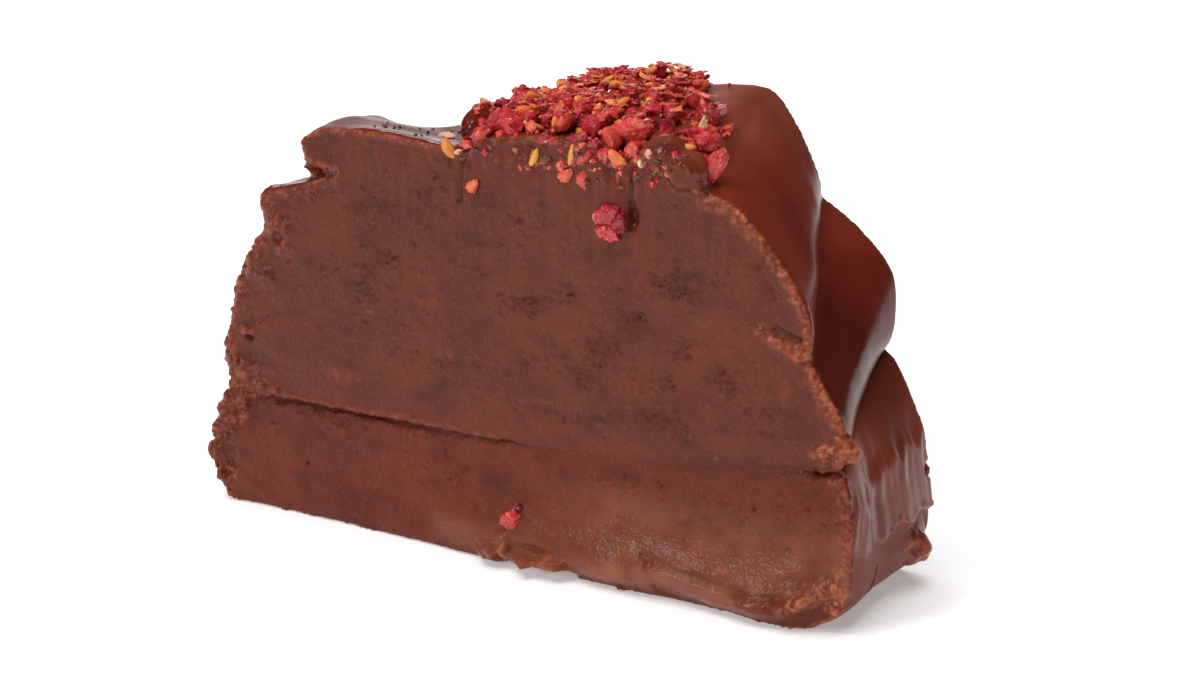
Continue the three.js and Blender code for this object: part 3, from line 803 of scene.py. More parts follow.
class Surface:
    """A block while it is finished: where its cuts and torn rims lie, and what each step adds at its points."""

    def __init__(self, block, folds, seed):
        self.points, self.normal, self.seed = points_of(block), normals_of(block), seed
        self.flat = self.points[:, [0, 2]]
        self.x, self.y, self.z = self.points.copy().T
        self.depth = self.y / SLICE_DEPTH + 0.5
        self.front = step(-0.45, -0.8, self.normal[:, 1]) * step(FRONT + 2.2, FRONT + 1.2, self.y)
        self.back = step(0.45, 0.8, self.normal[:, 1]) * step(-FRONT - 2.2, -FRONT - 1.2, self.y)
        self.cut = self.front + self.back
        self.near_front = self.y < 0
        ends = [from_outline(self.flat, folds, depth) for depth in (0, 1)]
        self.inside, self.rim = [np.where(self.near_front, *pair) for pair in zip(*ends)]
        self.wobble = rough_cloud(self.points, 2.4, seed)
        self.crumble = rough_cloud(self.points, 1.1, seed + 10)
        # Shares from 0 to 1. Those in on_cut show on the front cut alone.
        names = ("torn", "bright", "dull", "tan", "wet", "shade", "stained", "pebbled")
        self.marks = {name: np.zeros(len(self.points)) for name in names}
        self.on_cut = {}
        self.outward = 0  # how far each point is to move along its normal

    def tint(self, name, share):
        """Strengthens a mark of the front cut to at least this share."""
        self.on_cut[name] = np.maximum(self.on_cut[name], share)

    def mark(self, name, share):
        """Strengthens any other mark to at least this share."""
        self.marks[name] = np.maximum(self.marks[name], share)

    def push(self):
        """Moves the points as far out as the steps so far have added up."""
        self.points += self.normal * self.outward[:, None]


def tear_rims(s, upper):
    """Marks where the rims of both cuts are torn."""
    band = step(1.1, 0.3, (s.inside + 0.3 * s.crumble + 0.35 * s.wobble) / np.maximum(s.rim, 0.2))
    s.mark("torn", band * (s.front + 0.5 * s.back))
    # a torn band also turns a little way round onto the skin
    turned = step(1.0, 0.2, (np.abs(np.abs(s.y) - SLICE_DEPTH / 2) + 0.35 * s.crumble) / (0.3 + 0.2 * s.rim))
    s.mark("torn", turned * (1 - s.cut) * np.where(s.near_front, 0.8, 0.3) * (s.rim > 0.5))
    for at, size in torn_places(upper):
        reach = np.linalg.norm((s.points - at) / (0.62 * size), axis=1)
        s.mark("torn", step(1.3, 0.8, reach + 0.2 * s.crumble))


def mark_cuts(s, strokes, spots, clusters, back_places):
    """The cuts: slow waves of the knife's travel, drag lines down from the top, listed marks and plucked chips."""
    s.lower_drag = step(40, 50, s.z)
    s.relief = 0.18 * cloud(s.points, 9, 20) + 0.11 * rough_cloud(s.points, 3, 21) + 0.03 * cloud(s.points, 1.2, 24)
    s.relief += 0.07 * s.lower_drag * cloud(s.points, (0.9, 4, 14), 22)
    s.relief += 0.05 * (1 - s.lower_drag) * cloud(s.points, (16, 4, 0.9), 23)
    s.chips, s.chip_dark = plucked(s.flat, clusters, s.seed + 30)
    listed, s.on_cut = mark_front(s.flat, strokes, spots, s.wobble, s.crumble)
    back_chips, s.back_dark = plucked(s.flat, back_places, s.seed + 31, BACK_CHIP_MM)
    back_chips, s.back_dark = 0.4 * back_chips, 0.5 * s.back_dark
    s.outward = s.cut * s.relief + s.front * (s.chips + listed) + s.back * back_chips


def raise_torn_rims(s, lump_height):
    """The torn rims stand up in grains, with a plucked trough inside them, and the left edge in lumps."""
    grains = np.abs(rough_cloud(s.points, 1.3, s.seed + 40)) + 0.5 * np.abs(cloud(s.points, 0.7, s.seed + 41))
    grainy = np.where(s.x < -36, 0.6, 0.55) * np.where(s.near_front, 1, 0.2)
    s.outward += s.marks["torn"] * (0.14 * s.near_front + grainy * (grains - 0.3))
    # the left edge was torn rather than cut
    left_edge = np.maximum(step(-37, -41, s.x), 0.45 * step(-30, -34, s.x) * step(50, 53, s.z))
    near_edge = step(5.5, 2.5, s.inside + 2.5 * (1 - s.cut)) * step(FRONT + 5, FRONT + 2, s.y)
    ragged = left_edge * near_edge * step(0.5, 2.5, s.z)
    lumps = np.maximum(cloud(s.points, 3.4, s.seed + 42), -0.2)
    lumps = lumps + 0.5 * np.maximum(cloud(s.points, 1.9, s.seed + 43), -0.2)
    s.outward += ragged * lump_height * lumps
    rims_in = s.inside / np.maximum(s.rim, 0.2)
    trough = step(0.6, 1.2, rims_in) * step(2.0, 1.3, rims_in)
    s.outward -= s.cut * trough * 0.25 * step(-0.2, 0.5, s.crumble) * (s.rim > 1)


def press_seam(s):
    """The soft trough along the seam on the front cut. Returns how high each point is over the seam."""
    left, right = crease_at(BASE_FOLDS[0], 0), crease_at(BASE_FOLDS[-1], 0)
    share = np.clip((s.x - left[0]) / (right[0] - left[0]), 0, 1)
    over_seam = s.z - mix(left[1], right[1], share**SEAM_RISE)
    soft = np.interp(s.x, SEAM_OPEN_X, SEAM_TROUGH) * np.exp(-(((over_seam + 0.4 * s.wobble) / 1.1) ** 2))
    s.outward -= s.front * 0.32 * soft
    # painted shade along the soft trough of the seam
    s.tint("dark", np.where(s.x > 20, 0.42, 0.3) * soft)
    return over_seam


def finish_top_cut(s, over_seam):
    """What only the upper block's front cut has: the ledge over the seam, and the ragged edge under the heap."""
    gap = np.abs(over_seam)
    ledge = step(1.5, 0.5, gap + 0.5 * s.crumble + 0.4 * s.wobble) * np.interp(s.x, SEAM_OPEN_X, SEAM_OPEN)
    ledge = ledge * step(3, -4, s.x)
    s.outward += s.front * (0.4 + 0.4 * s.crumble) * ledge
    s.tint("torn", 0.9 * ledge)
    s.lip = step(1.25, 0.85, np.linalg.norm((s.points - [26.4, -12.6, 59.4]) / [4.4, 4, 3.4], axis=1))
    dragged = step(53.5, 57, s.z) * step(-16, -12, s.x) * step(29, 25, s.x) * (1 - s.lip)
    for cx, cz in DRAGGED_CLUMPS + [(17.5, 51), (16.4, 54)]:
        reach = np.hypot((s.x - cx) / 2.6, (s.z - cz) / 2.6)
        s.mark("stained", s.front * step(1.2, 0.2, reach + 0.5 * s.crumble))
    s.marks["torn"] *= 1 - 0.85 * s.lip
    runs = 0.25 * cloud(s.points, (1.4, 4, 3.2), 25) + 0.16 * cloud(s.points, (0.8, 4, 1.4), 26)
    s.outward += s.front * dragged * runs
    s.tint("torn", 0.55 * dragged * step(0, 0.6, s.crumble))
    s.tint("warm", step(3.5, 0.5, gap + s.wobble) * 0.8 * step(30, 12, s.x))


def finish_base_cut(s, over_seam):
    """What only the base's front cut has: the groove under the seam, the belly low down, and its pebbled part."""
    s.outward -= 0.14 * s.cut * step(-0.5, 0.3, over_seam)
    groove = step(-1.3, -0.4, over_seam + 0.4 * s.wobble + 0.4 * s.crumble)
    groove = groove * np.interp(s.x, SEAM_OPEN_X, SEAM_OPEN)
    s.outward -= s.front * 0.8 * groove
    s.mark("dull", groove * s.front)
    # painted shade in the groove under the seam
    s.tint("dark", 0.8 * groove)
    s.tint("warm", (0.4 + 0.4 * s.wobble) * step(48, 16, s.x))
    # the soft base slumps forward low down, more to the right, and tucks under at the floor
    roll = 1 + 0.35 * cloud(s.points, (6, 9, 9), 51)
    belly = np.exp(-((np.maximum(s.z - 3.6, 0) / 5.2) ** 2)) * step(-30, 14, s.x) * step(50, 44, s.x)
    crest = np.exp(-(((s.z - 3.4 + 0.8 * cloud(s.points, (7, 9, 9), 52)) / 1.9) ** 2))
    crest *= step(4, 16, s.x) * step(47, 40, s.x)
    s.outward -= s.front * (s.relief + s.chips) * 0.8 * crest
    tucked = mix(0.25, 1.0, step(-12, 12, s.x)) * step(2.4, 0, s.z + 0.4 * s.wobble) * step(-49, -44, s.x)
    # the torn tongue hangs clear of the floor
    tucked += 2.4 * step(1.2, 0.5, s.z + 0.3 * s.crumble) * step(-5, -2, s.x) * step(12, 9, s.x)
    s.points[:, 1] -= (1.8 * belly * roll + 0.9 * crest * roll - tucked) * step(FRONT + 3, FRONT + 0.4, s.y)
    s.tint("wet", 0.55 * crest)
    # the crest of the roll is warmer: partly a smear, partly painted highlight where the roll catches the light
    s.tint("warm", 0.7 * crest)
    pebbled = step(17, 11, s.z + s.wobble) * step(3.4, 5.8, s.z + 0.6 * s.wobble) * step(0, 20, s.x) * s.front
    s.outward += 0.03 * cloud(s.points, (1.0, 0.9, 0.9), s.seed + 50) * pebbled
    s.outward -= s.front * s.relief * 0.6 * pebbled
    s.mark("pebbled", pebbled)
    s.tint("wet", 0.44 * pebbled)
    # the crest is paler tan: a smear, and painted highlight as well
    s.mark("tan", crest * (0.6 + 0.4 * s.wobble) * step(44, 30, s.x))
    s.mark("tan", 0.36 * pebbled * (0.8 + 0.5 * s.wobble))
    s.mark("tan", 0.35 * step(-16, -8, s.x) * step(16, 6, s.x) * step(7, 4, s.z + s.wobble) * step(0, 2, s.z))


def wave_skin(s):
    """The skin's long soft waves down the folds. Returns where the skin is."""
    skin = (1 - s.cut) * (1 - s.marks["torn"])
    waves = 0.3 * cloud(s.points, (9, 7, 16), s.seed + 60) + 0.06 * cloud(s.points, (5, 2.6, 9), s.seed + 61)
    s.points += s.normal * (skin * waves * step(0.4, 2.5, s.z))[:, None]
    return skin


def finish_top_skin(s, skin):
    """The shade, touched and wet places of the upper block's skin."""
    # the second fold lies in the shade of the third
    crease_z = mix(36.4, 51, s.depth)
    below = skin * step(crease_z + 0.5, crease_z - 1.5, s.z)
    s.mark("shade", below * step(26, 31, s.z) * step(30, 34, s.x) * step(0.75, 0.3, s.depth))
    s.mark("dull", below * step(38, 42, s.x) * step(0.4, 0.7, s.depth) * step(30, 36, s.z))
    # the crown of the third fold was touched, and is dull and paler
    crown = skin * step(56, 63, s.z) * step(12, 18, s.x)
    s.mark("dull", 0.9 * crown)
    s.mark("tan", 0.22 * crown * (1 + 0.6 * s.wobble))
    # the raised fold's end, the lip and the underside of the roll are wet
    end = np.linalg.norm((s.points - [-9.5, -7, 59]) / [5, 8, 5], axis=1)
    s.mark("wet", 0.45 * skin * step(1.3, 0.9, end))
    s.mark("wet", 0.8 * s.lip)
    s.mark("wet", skin * (s.x < -28) * (np.abs(s.z - 51.6) < 2) * (s.y < -6))


def finish_base_skin(s, skin):
    """The right side of the base: a swelling, pleats below it, and a hem where it leans towards the floor."""
    side = skin * step(46, 49, s.x) * step(0.2, 2, s.z)
    # the swelling's jagged crest
    swell_z = mix(15.5, 20.5, s.depth)
    swell_z = swell_z + 1.5 * cloud(s.points, (9, 1.5, 40), 64) + 0.6 * cloud(s.points, (9, 0.6, 40), 65)
    s.points[:, 0] += side * 0.4 * np.exp(-(((s.z - swell_z) / 1.9) ** 2))
    pleat = 2 * cloud(s.points, (9, 3.6, 22), 62) * step(8, 12, s.z) * step(32, 17, s.z)
    hem_z = 10.6 + 0.5 * np.sin(s.y * 0.9) + 0.5 * s.crumble
    hem = step(-0.2, 0.5, s.z - hem_z) * step(-4.5, -2, s.y)
    under = step(0.1, -0.4, s.z - hem_z) * step(-4.5, -2, s.y)
    hem_lip = np.exp(-(((s.z - hem_z) / 0.6) ** 2)) * step(-4, -2, s.y) * step(-0.4, 0.4, s.crumble)
    streak = np.abs(rough_cloud(s.points, (9, 2.4, 18), 66)) * step(8, 12, s.z) * step(24, 18, s.z)
    s.points[:, 0] += side * (0.22 * pleat - 0.2 * streak + 0.4 * hem - 0.35 * under + 0.5 * hem_lip)
    crack = np.exp(-(((s.y + 5 - 0.25 * (s.z - 5)) / 0.3) ** 2)) * step(7.6, 6.8, s.z) * step(2, 3, s.z) * side
    s.points[:, 0] -= 0.7 * crack
    s.tint("dark", 0.8 * crack)
    s.mark("torn", hem_lip * side)
    s.mark("dull", side * step(hem_z + 0.4, hem_z - 0.6, s.z))
    s.mark("dull", 0.5 * side * step(20, 24, s.z))


def light_torn_parts(s, upper):
    """Right of the middle the torn parts show a lighter, more orange inside, most of all at the torn ends."""
    bright = np.interp(s.x, [-46, -38, 20, 32, 52], [0.25, 0.1, 0.1, 0.75, 0.75])
    bright *= step(-0.8, 0.5, s.wobble + 0.5 * s.crumble)
    if upper:
        fold_ends = np.minimum(np.hypot(s.x - 43, s.z - 37.8) / 3.2, np.hypot(s.x - 50, s.z - 24.6) / 3)
        s.mark("bright", step(1.2, 0.6, fold_ends))
    else:
        bright *= mix(1, 0.4, step(40, 46, s.x))
        # the torn flap low on the right: its own orange inside, made fully lighter too as painted light, since it
        # faces away from the lamps
        s.mark("bright", step(43, 46, s.x) * step(8, 6.5, s.z))
        s.mark("bright", 0.8 * step(-5, -3, s.x) * step(13, 10, s.x) * step(4.4, 3.4, s.z))
    s.mark("bright", bright)


def paint_block(block, s, skin, clusters, cut_shades):
    """Paints the marks that the fudge materials read."""
    edge, crack_in = edges_and_cracks(block)
    torn = np.maximum(s.marks["torn"], s.on_cut["torn"] * s.front)
    bright = s.marks["bright"]
    dark = np.maximum(s.on_cut["dark"], s.chip_dark) * s.front + s.back_dark * s.back
    # painted shade: torn parts are darkened in their crevices
    dark = np.maximum(dark, 0.45 * crack_in * torn)
    # painted shade: the front cut is darkened across, most on the left, nearest the key light
    cut_shade = s.front * (1 - torn) * np.interp(s.x, CUT_SHADE_X, cut_shades)
    paint(block, "skin", skin)
    paint(block, "torn", torn)
    # painted highlight: the orange inside is laid on more strongly where an edge stands out
    paint(block, "ember", torn * np.minimum(bright * (0.35 + edge) + 0.25 * edge, 1))
    paint(block, "shade", np.maximum(s.marks["shade"], cut_shade))
    paint(block, "pebbled", s.marks["pebbled"])
    paint(block, "dragged", s.lower_drag * s.front)
    paint(block, "warm", s.on_cut["warm"] * np.maximum(s.front, s.back * 0.5))
    paint(block, "dark", np.maximum(dark, 0.2 * torn * step(-38, -42, s.x)))
    paint(block, "wet", np.maximum(s.on_cut["wet"] * s.front, s.marks["wet"]))
    paint(block, "plucked", pluck_density(s.flat + 0.8 * s.wobble[:, None], clusters) * s.front)
    paint(block, "dull", s.marks["dull"])
    paint(block, "tan", s.marks["tan"] * np.maximum(s.front, skin))
    paint(block, "stained", s.marks["stained"])


# How strongly painted shade darkens the front cut, at an x
CUT_SHADE_X = [-44, -30, -18, 0, 30, 48]
TOP_CUT_SHADE = [0.17, 0.16, 0.08, 0.06, 0.0, 0.0]
BASE_CUT_SHADE = [0.22, 0.2, 0.03, 0.15, 0.12, 0.1]


def finish_block(block, upper, seed):
    """Gives a block its knife cuts, torn rims, marks and glossy skin, and paints where each one is."""
    clusters = TOP_PLUCKED if upper else BASE_PLUCKED
    s = Surface(block, TOP_FOLDS if upper else BASE_FOLDS, seed)
    tear_rims(s, upper)
    if upper:
        mark_cuts(s, TOP_STROKES, TOP_SPOTS, clusters, TOP_BACK_PLUCKED)
    else:
        mark_cuts(s, BASE_STROKES, BASE_SPOTS, clusters, BASE_BACK_PLUCKED)
    raise_torn_rims(s, 0.75 if upper else 0.95)
    over_seam = press_seam(s)
    if upper:
        finish_top_cut(s, over_seam)
    else:
        finish_base_cut(s, over_seam)
    s.push()
    light_torn_parts(s, upper)
    skin = wave_skin(s)
    if upper:
        finish_top_skin(s, skin)
    else:
        finish_base_skin(s, skin)
    s.points[:, 2] = np.maximum(s.points[:, 2], 0)
    put_points(block, s.points)
    paint_block(block, s, skin, clusters, TOP_CUT_SHADE if upper else BASE_CUT_SHADE)


def settle(piece):
    """Moves a finished piece from the coordinates of the fold lists to the frame."""
    put_points(piece, points_of(piece) - CENTRE)
    choose(piece)
    bpy.ops.object.shade_smooth()


def make_blocks():
    top = wrap_block("top_fudge", TOP_FOLDS, -0.8)
    press_on(
        top,
        [
            ((-8.6, -4.0, 59.0), (6.0, 11.0, 6.2), 10),  # end of the raised fold
            (tuple(top_point(0.33, 0.6)), (14.0, 14.0, 8.0), 0),  # what the heap lies on
            (tuple(top_point(0.6, 0.58)), (18.0, 14.0, 4.6), 0),
            ((23.6, -12.4, 60.8), (6.6, 4.4, 4.4), -25),  # the glossy lip
            ((27.4, -12.2, 58.8), (5.6, 4.8, 5.2), -45),
            ((-32.8, -9.8, 52.0), (5.0, 5.6, 2.4), -22),  # the underside of the roll
            ((-32.8, -8.4, 49.9), (4.4, 6.0, 3.0), 0),  # what closes the notch behind the cut
            ((44.2, -12.4, 37.4), (2.4, 2.2, 3.0), 0),  # torn ends of the first two folds
            ((51.3, -12.6, 25.2), (3.4, 2.4, 2.4), 20),
        ],
    )
    base = wrap_block("base_fudge", BASE_FOLDS, 0.8)
    press_on(
        base,
        [
            ((50.4, 9.2, 5.2), (2.6, 5.4, 5.4), 0),  # the lump at the back
        ],
    )
    press_crumbs(top, torn_places(True))
    press_crumbs(base, torn_places(False))
    close_grained(top, TOP_FACE_MM)
    close_grained(base, BASE_FACE_MM)
    finish_block(top, True, 100)
    finish_block(base, False, 300)
    return top, base


# Raspberry and crumbs


def in_fixed_order(ball):
    """The points and triangles of a ball whose points Blender makes in another order each run, put in order."""
    points = points_of(ball)
    order = np.lexsort(points.T.round(3))
    rank = np.argsort(order)
    triangles = []
    for polygon in ball.data.polygons:
        corners = [int(rank[v]) for v in polygon.vertices]
        first = corners.index(min(corners))
        corners = corners[first:] + corners[:first]
        triangles += [(corners[0], corners[k], corners[k + 1]) for k in range(1, len(corners) - 1)]
    return points[order], np.array(sorted(triangles))


# How finely the ball that each kind is made from is divided. Grit comes from a globe of few faces instead.
BALL_STEPS = {"chunk": 4, "bit": 3, "granule": 3, "seed": 2, "crumb": 1}


def shape_points(kind, seed):
    """The points of one small shape, about 1 across, modelled from a ball: a broken chunk, a seed or a crumb."""
    choose()
    if kind == "grit":
        bpy.ops.mesh.primitive_uv_sphere_add(segments=6, ring_count=5, radius=0.5 * MM)
        ball = bpy.context.object
        points, faces = in_fixed_order(ball)
    else:
        bpy.ops.mesh.primitive_ico_sphere_add(subdivisions=BALL_STEPS[kind], radius=0.5 * MM)
        ball = bpy.context.object
        points, faces = points_of(ball), np.array([list(p.vertices) for p in ball.data.polygons])
    bpy.data.objects.remove(ball)
    rng = np.random.default_rng(seed)
    unit = points / np.linalg.norm(points, axis=1, keepdims=True)
    crest = np.full(len(points), 0.5)
    if kind in ("chunk", "bit", "granule", "grit"):
        # small cells of the fruit, and a few flat breaks
        middles = rng.normal(size=(26 if kind == "chunk" else 12, 3))
        middles /= np.linalg.norm(middles, axis=1, keepdims=True)
        nearest = np.arccos(np.clip(unit @ middles.T, -1, 1)).min(axis=1)
        cells = np.clip(1 - (nearest / 0.42) ** 2, 0, 1)
        radius = 0.40 + 0.09 * cells + 0.10 * cloud(unit, 0.5, seed) + 0.05 * cloud(unit, 0.25, seed + 1)
        points = unit * radius[:, None]
        for _ in range(7):
            cut = rng.normal(size=3)
            cut /= np.linalg.norm(cut)
            over = np.maximum(points @ cut - rng.uniform(0.24, 0.38), 0)
            points -= cut * (over * 0.9)[:, None]
        points += unit * (0.018 * rng.normal(size=len(points)))[:, None]
        crest = cells
    elif kind == "seed":
        # a drop, fuller at one end, its side slightly hollow
        along = unit[:, 0]
        fat = 0.30 + 0.10 * (1 - along) * 0.5
        points = np.stack([along * 0.5, unit[:, 1] * fat * 0.9, unit[:, 2] * fat * 0.8], 1)
        points[:, 2] += 0.10 * along**2
        points += unit * (0.018 * cloud(unit, 0.25, seed))[:, None]
    else:
        points = unit * (0.5 * rng.uniform(0.65, 1.1, len(points)))[:, None]
    return points, faces, crest


def flake_points(seed):
    """A dried scrap of fruit skin: a small curled leaf with some thickness."""
    rng = np.random.default_rng(seed)
    choose()
    bpy.ops.mesh.primitive_grid_add(x_subdivisions=4, y_subdivisions=2, size=1 * MM)
    leaf = bpy.context.object
    points = points_of(leaf)
    points[:, 2] = rng.uniform(0.2, 0.5) * points[:, 0] ** 2 + rng.uniform(-0.4, 0.4) * points[:, 1] ** 2
    points[:, :2] *= 1 + 0.3 * rng.uniform(-1, 1, (len(points), 1))
    points += 0.05 * rng.uniform(-1, 1, points.shape)
    put_points(leaf, points)
    apply_modifier(leaf, "SOLIDIFY", thickness=0.14 * MM, offset=0)
    apply_modifier(leaf, "TRIANGULATE")
    points = points_of(leaf)
    faces = np.array([list(p.vertices) for p in leaf.data.polygons])
    bpy.data.objects.remove(leaf)
    return points, faces, np.full(len(points), 0.6)


class Scatter:
    """Gathers many small copies, each with its own mesh and tone, into one piece."""

    def __init__(self):
        self.points, self.faces, self.tones, self.crests, self.count = [], [], [], [], 0

    def add(self, shape, at, size, turn, tone):
        points, faces, crest = shape
        placed = (points * np.asarray(size, float)) @ turn.T + at
        self.points.append(placed)
        self.faces.append(faces + self.count)
        self.tones.append(np.full(len(points), tone))
        self.crests.append(crest)
        self.count += len(points)

    def piece(self, name, material, slot):
        mesh = bpy.data.meshes.new(name)
        points = (np.concatenate(self.points) - CENTRE) * MM
        mesh.from_pydata(points.tolist(), [], np.concatenate(self.faces).tolist())
        mesh.update()
        piece = bpy.data.objects.new(name, mesh)
        bpy.context.scene.collection.objects.link(piece)
        tones = np.concatenate(self.tones)
        paint(piece, "ripe", 2 * tones)
        paint(piece, "tone", 2 * tones - 1)
        paint(piece, "crest", np.concatenate(self.crests))
        mesh.materials.append(material)
        choose(piece)
        bpy.ops.object.shade_smooth_by_angle(angle=math.radians(50))
        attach(piece, "root")
        return piece


def random_turn(rng, tilt=math.pi):
    """A turn about Z, tipped by up to tilt."""
    tip = Matrix.Rotation(rng.uniform(-tilt, tilt), 3, "X") @ Matrix.Rotation(rng.uniform(-tilt, tilt), 3, "Y")
    return np.array(Matrix.Rotation(rng.uniform(0, 2 * math.pi), 3, "Z") @ tip)


# The raspberry heap, with the same large pieces as in the solids
HEAP_PIECES = 120
HEAP_LARGEST = 5.0  # how long the first and the last of them are
HEAP_SMALLEST = 2.6
HEAP_LIFT = 5.2  # how high the heap rises over the fudge
HEAP_CROWN = 0.3  # how far across its crown lies
CROWN_Z = 64.0  # above this a place counts as on the crown
SPREAD_ACROSS, SPREAD_DEPTH = 0.7548776662, 0.5698402909  # steps that spread points evenly over a square
WHOLE_CHUNKS = 26  # the first ones show the cells of the fruit, the others are broken bits
# How many small pieces are strewn over it
STREWN = {"bits": 430, "scraps": 100, "shreds": 300, "seeds": 30, "dust": 1100, "core": 60}
DRAGGED_PIECES = 210  # what the knife dragged down over the front edge
SHOULDER_FLECKS = 26  # specks of fudge on the smooth shoulder left of the heap


def heap_dome(across, depth):
    """How far the heap has risen at a place on the top, from 0 at its rim to 1 on its crown."""
    side = across / HEAP_CROWN if across < HEAP_CROWN else (1 - across) / (1 - HEAP_CROWN)
    return side**1.2 * mix(0.1, 1, math.sin(math.pi * min(depth / 1.2, 1)))


def heap_cover(across, depth):
    """How thickly the raspberry covers a place on the top: thinner along the front edge and by the third fold."""
    if across < 0.17 and depth > 0.5:
        return 0
    if across < 0.3 and depth < 0.42:
        return 0.3
    return 0.4 if depth < 0.14 else 1


def heap_places():
    """Yields number, place and size of each large piece of the heap."""
    for i in range(HEAP_PIECES):
        across = mix(0.04, 0.97, (0.5 + i * SPREAD_ACROSS) % 1)
        depth = mix(0.05, 0.97, (0.5 + i * SPREAD_DEPTH) % 1)
        if draw(i, 1) > heap_cover(across, depth):
            continue
        share = i / HEAP_PIECES
        length = mix(HEAP_LARGEST, HEAP_SMALLEST, share) * mix(0.85, 1.15, draw(i, 2))
        flat = mix(0.5, 0.8, draw(i, 4))
        at = top_point(across, depth)
        at[2] += HEAP_LIFT * heap_dome(across, depth) * mix(0.5, 1, draw(i, 3)) + 0.1 * length
        at[2] -= heap_dome(across, depth) * np.interp(across, [0.1, 0.25, 0.4, 0.6], [2.2, 1.7, 0.4, 1.0])
        yield i, at, np.array([length, length * 0.8, length * flat])


# Single pieces that the knife dragged down: kind, place, size, tone, turn in the face. The solids have them too,
# some of them a little further forward.
CHIPS = [
    ("flesh", (15.6, FRONT - 0.3, 51.5), (4.8, 3.2, 3.6), 0.3, 20),
    ("flesh", (-5.3, FRONT - 0.2, 52.6), (2.1, 1.6, 2.3), 0.8, 0),
    ("seed", (-9.4, FRONT + 0.1, 57.2), (3.3, 2.4, 2.9), 0.8, -50),
    ("flesh", (-6.6, FRONT + 0.2, 58.2), (2.4, 1.8, 1.4), 0.65, 0),
    ("pale", (-12.2, FRONT + 3.6, 58.0), (3.4, 2.2, 1.3), 0.6, 0),
    ("flesh", (-2.4, FRONT + 3.6, 61), (6.4, 4.6, 4.6), 0.35, 0),
    ("flesh", (17, FRONT + 3.6, 62.2), (6.8, 4.4, 4.2), 0.6, 10),
    ("seed", (4.4, FRONT, 57.8), (2.9, 1.6, 1.9), 0.15, 65),
    ("seed", (10.2, FRONT, 58.9), (3.2, 1.6, 1.8), 0.45, 80),
    ("flesh", (9.3, FRONT, 55.9), (2.5, 1.9, 2.3), 0.75, 0),
    ("flesh", (11.9, FRONT, 55.8), (1.9, 1.9, 3.0), 0.6, 0),
    ("seed", (17, FRONT, 59.2), (3.2, 2.2, 2.8), 0.95, -30),
    ("seed", (26.4, FRONT + 1.2, 61.4), (3.4, 2.4, 2.6), 0.6, 10),
    ("seed", (25.1, FRONT + 7.6, 61.7), (3.4, 2.4, 2.6), 0.75, -20),
    ("pale", (23.6, FRONT + 15, 63.3), (2.3, 2, 3.5), 0.2, -35),
    ("pale", (24, FRONT + 9.8, 62.2), (1.4, 1.6, 4.2), 1, -20),
    ("flesh", (30.4, FRONT + 2, 59.6), (3.2, 2.8, 6.6), 0.55, -24),
    ("flesh", (27, FRONT + 6.6, 61.1), (2.2, 2.2, 3.8), 0.6, -25),
    ("flesh", (1, FRONT - 1.3, 6.7), (3.6, 2.4, 3.8), 0.55, 0),
    ("flesh", (2, FRONT - 1, 8.9), (1.4, 1.2, 1.0), 0.0, 0),
    ("flesh", (15.5, FRONT - 0.2, 49.5), (3.0, 2.8, 4.2), 0.45, 70),
    ("flesh", (17.6, FRONT - 0.1, 50.9), (2.4, 2.4, 3.4), 0.1, -20),
]
# Smaller ones along the front edge, too fine for the solids
SMALL_CHIPS = [
    ("flesh", (19, FRONT + 0.3, 60.6), (2.3, 1.6, 2.3), 0.62, 15),
    ("flesh", (15.2, FRONT, 59.6), (2.2, 1.6, 2.6), 0.5, 0),
    ("flesh", (11.7, FRONT + 0.2, 58.4), (2.0, 1.6, 3.0), 0.3, 10),
    ("flesh", (10.9, FRONT + 0.5, 60.8), (3.0, 2.0, 2.2), 0.02, 0),
    ("flesh", (13.4, FRONT + 0.4, 60.6), (2.2, 1.6, 1.8), 0.15, 0),
    ("flesh", (5.8, FRONT + 0.4, 60.2), (2.4, 1.6, 1.6), 0.1, 30),
    ("flesh", (8.3, FRONT + 0.1, 57.2), (1.3, 1.2, 1.8), 0.9, 20),
    ("flesh", (-3.6, FRONT + 0.2, 57.6), (1.4, 1.2, 1.2), 0.3, 0),
    ("flesh", (13, FRONT + 0.1, 57.2), (1.2, 1, 1.6), 0.15, 0),
    ("flesh", (17.3, FRONT + 0.1, 57), (1.1, 1, 1.3), 0.05, 0),
    ("pale", (22.6, FRONT - 1.4, 60.8), (1.4, 1, 1.8), 0.3, 40),
    ("pale", (20.8, FRONT - 0.4, 59.2), (1, 0.8, 1.4), 0.9, 10),
]


ABOVE_ALL = 90.0  # a height over the whole slice, from which rays look down
BEFORE_ALL = -40.0  # a place in front of it, from which rays look at the front cut


def face_turn(degrees):
    """A turn in the plane of the front cut."""
    return np.array(Matrix.Rotation(-math.radians(degrees), 3, "Y"))


def surface_below(trees, x, y):
    """The highest point at x, y on any of the trees."""
    best = None
    for tree in trees:
        hit = tree.ray_cast(Vector((x, y, ABOVE_ALL)), Vector((0, 0, -1)))
        if hit[0] is not None and (best is None or hit[0].z > best[0].z):
            best = hit
    return best


def any_tone(rng, middle, spread):
    """A colour between the darkest (0) and the brightest (1) of a kind."""
    return np.clip(rng.normal(middle, spread), 0, 1)


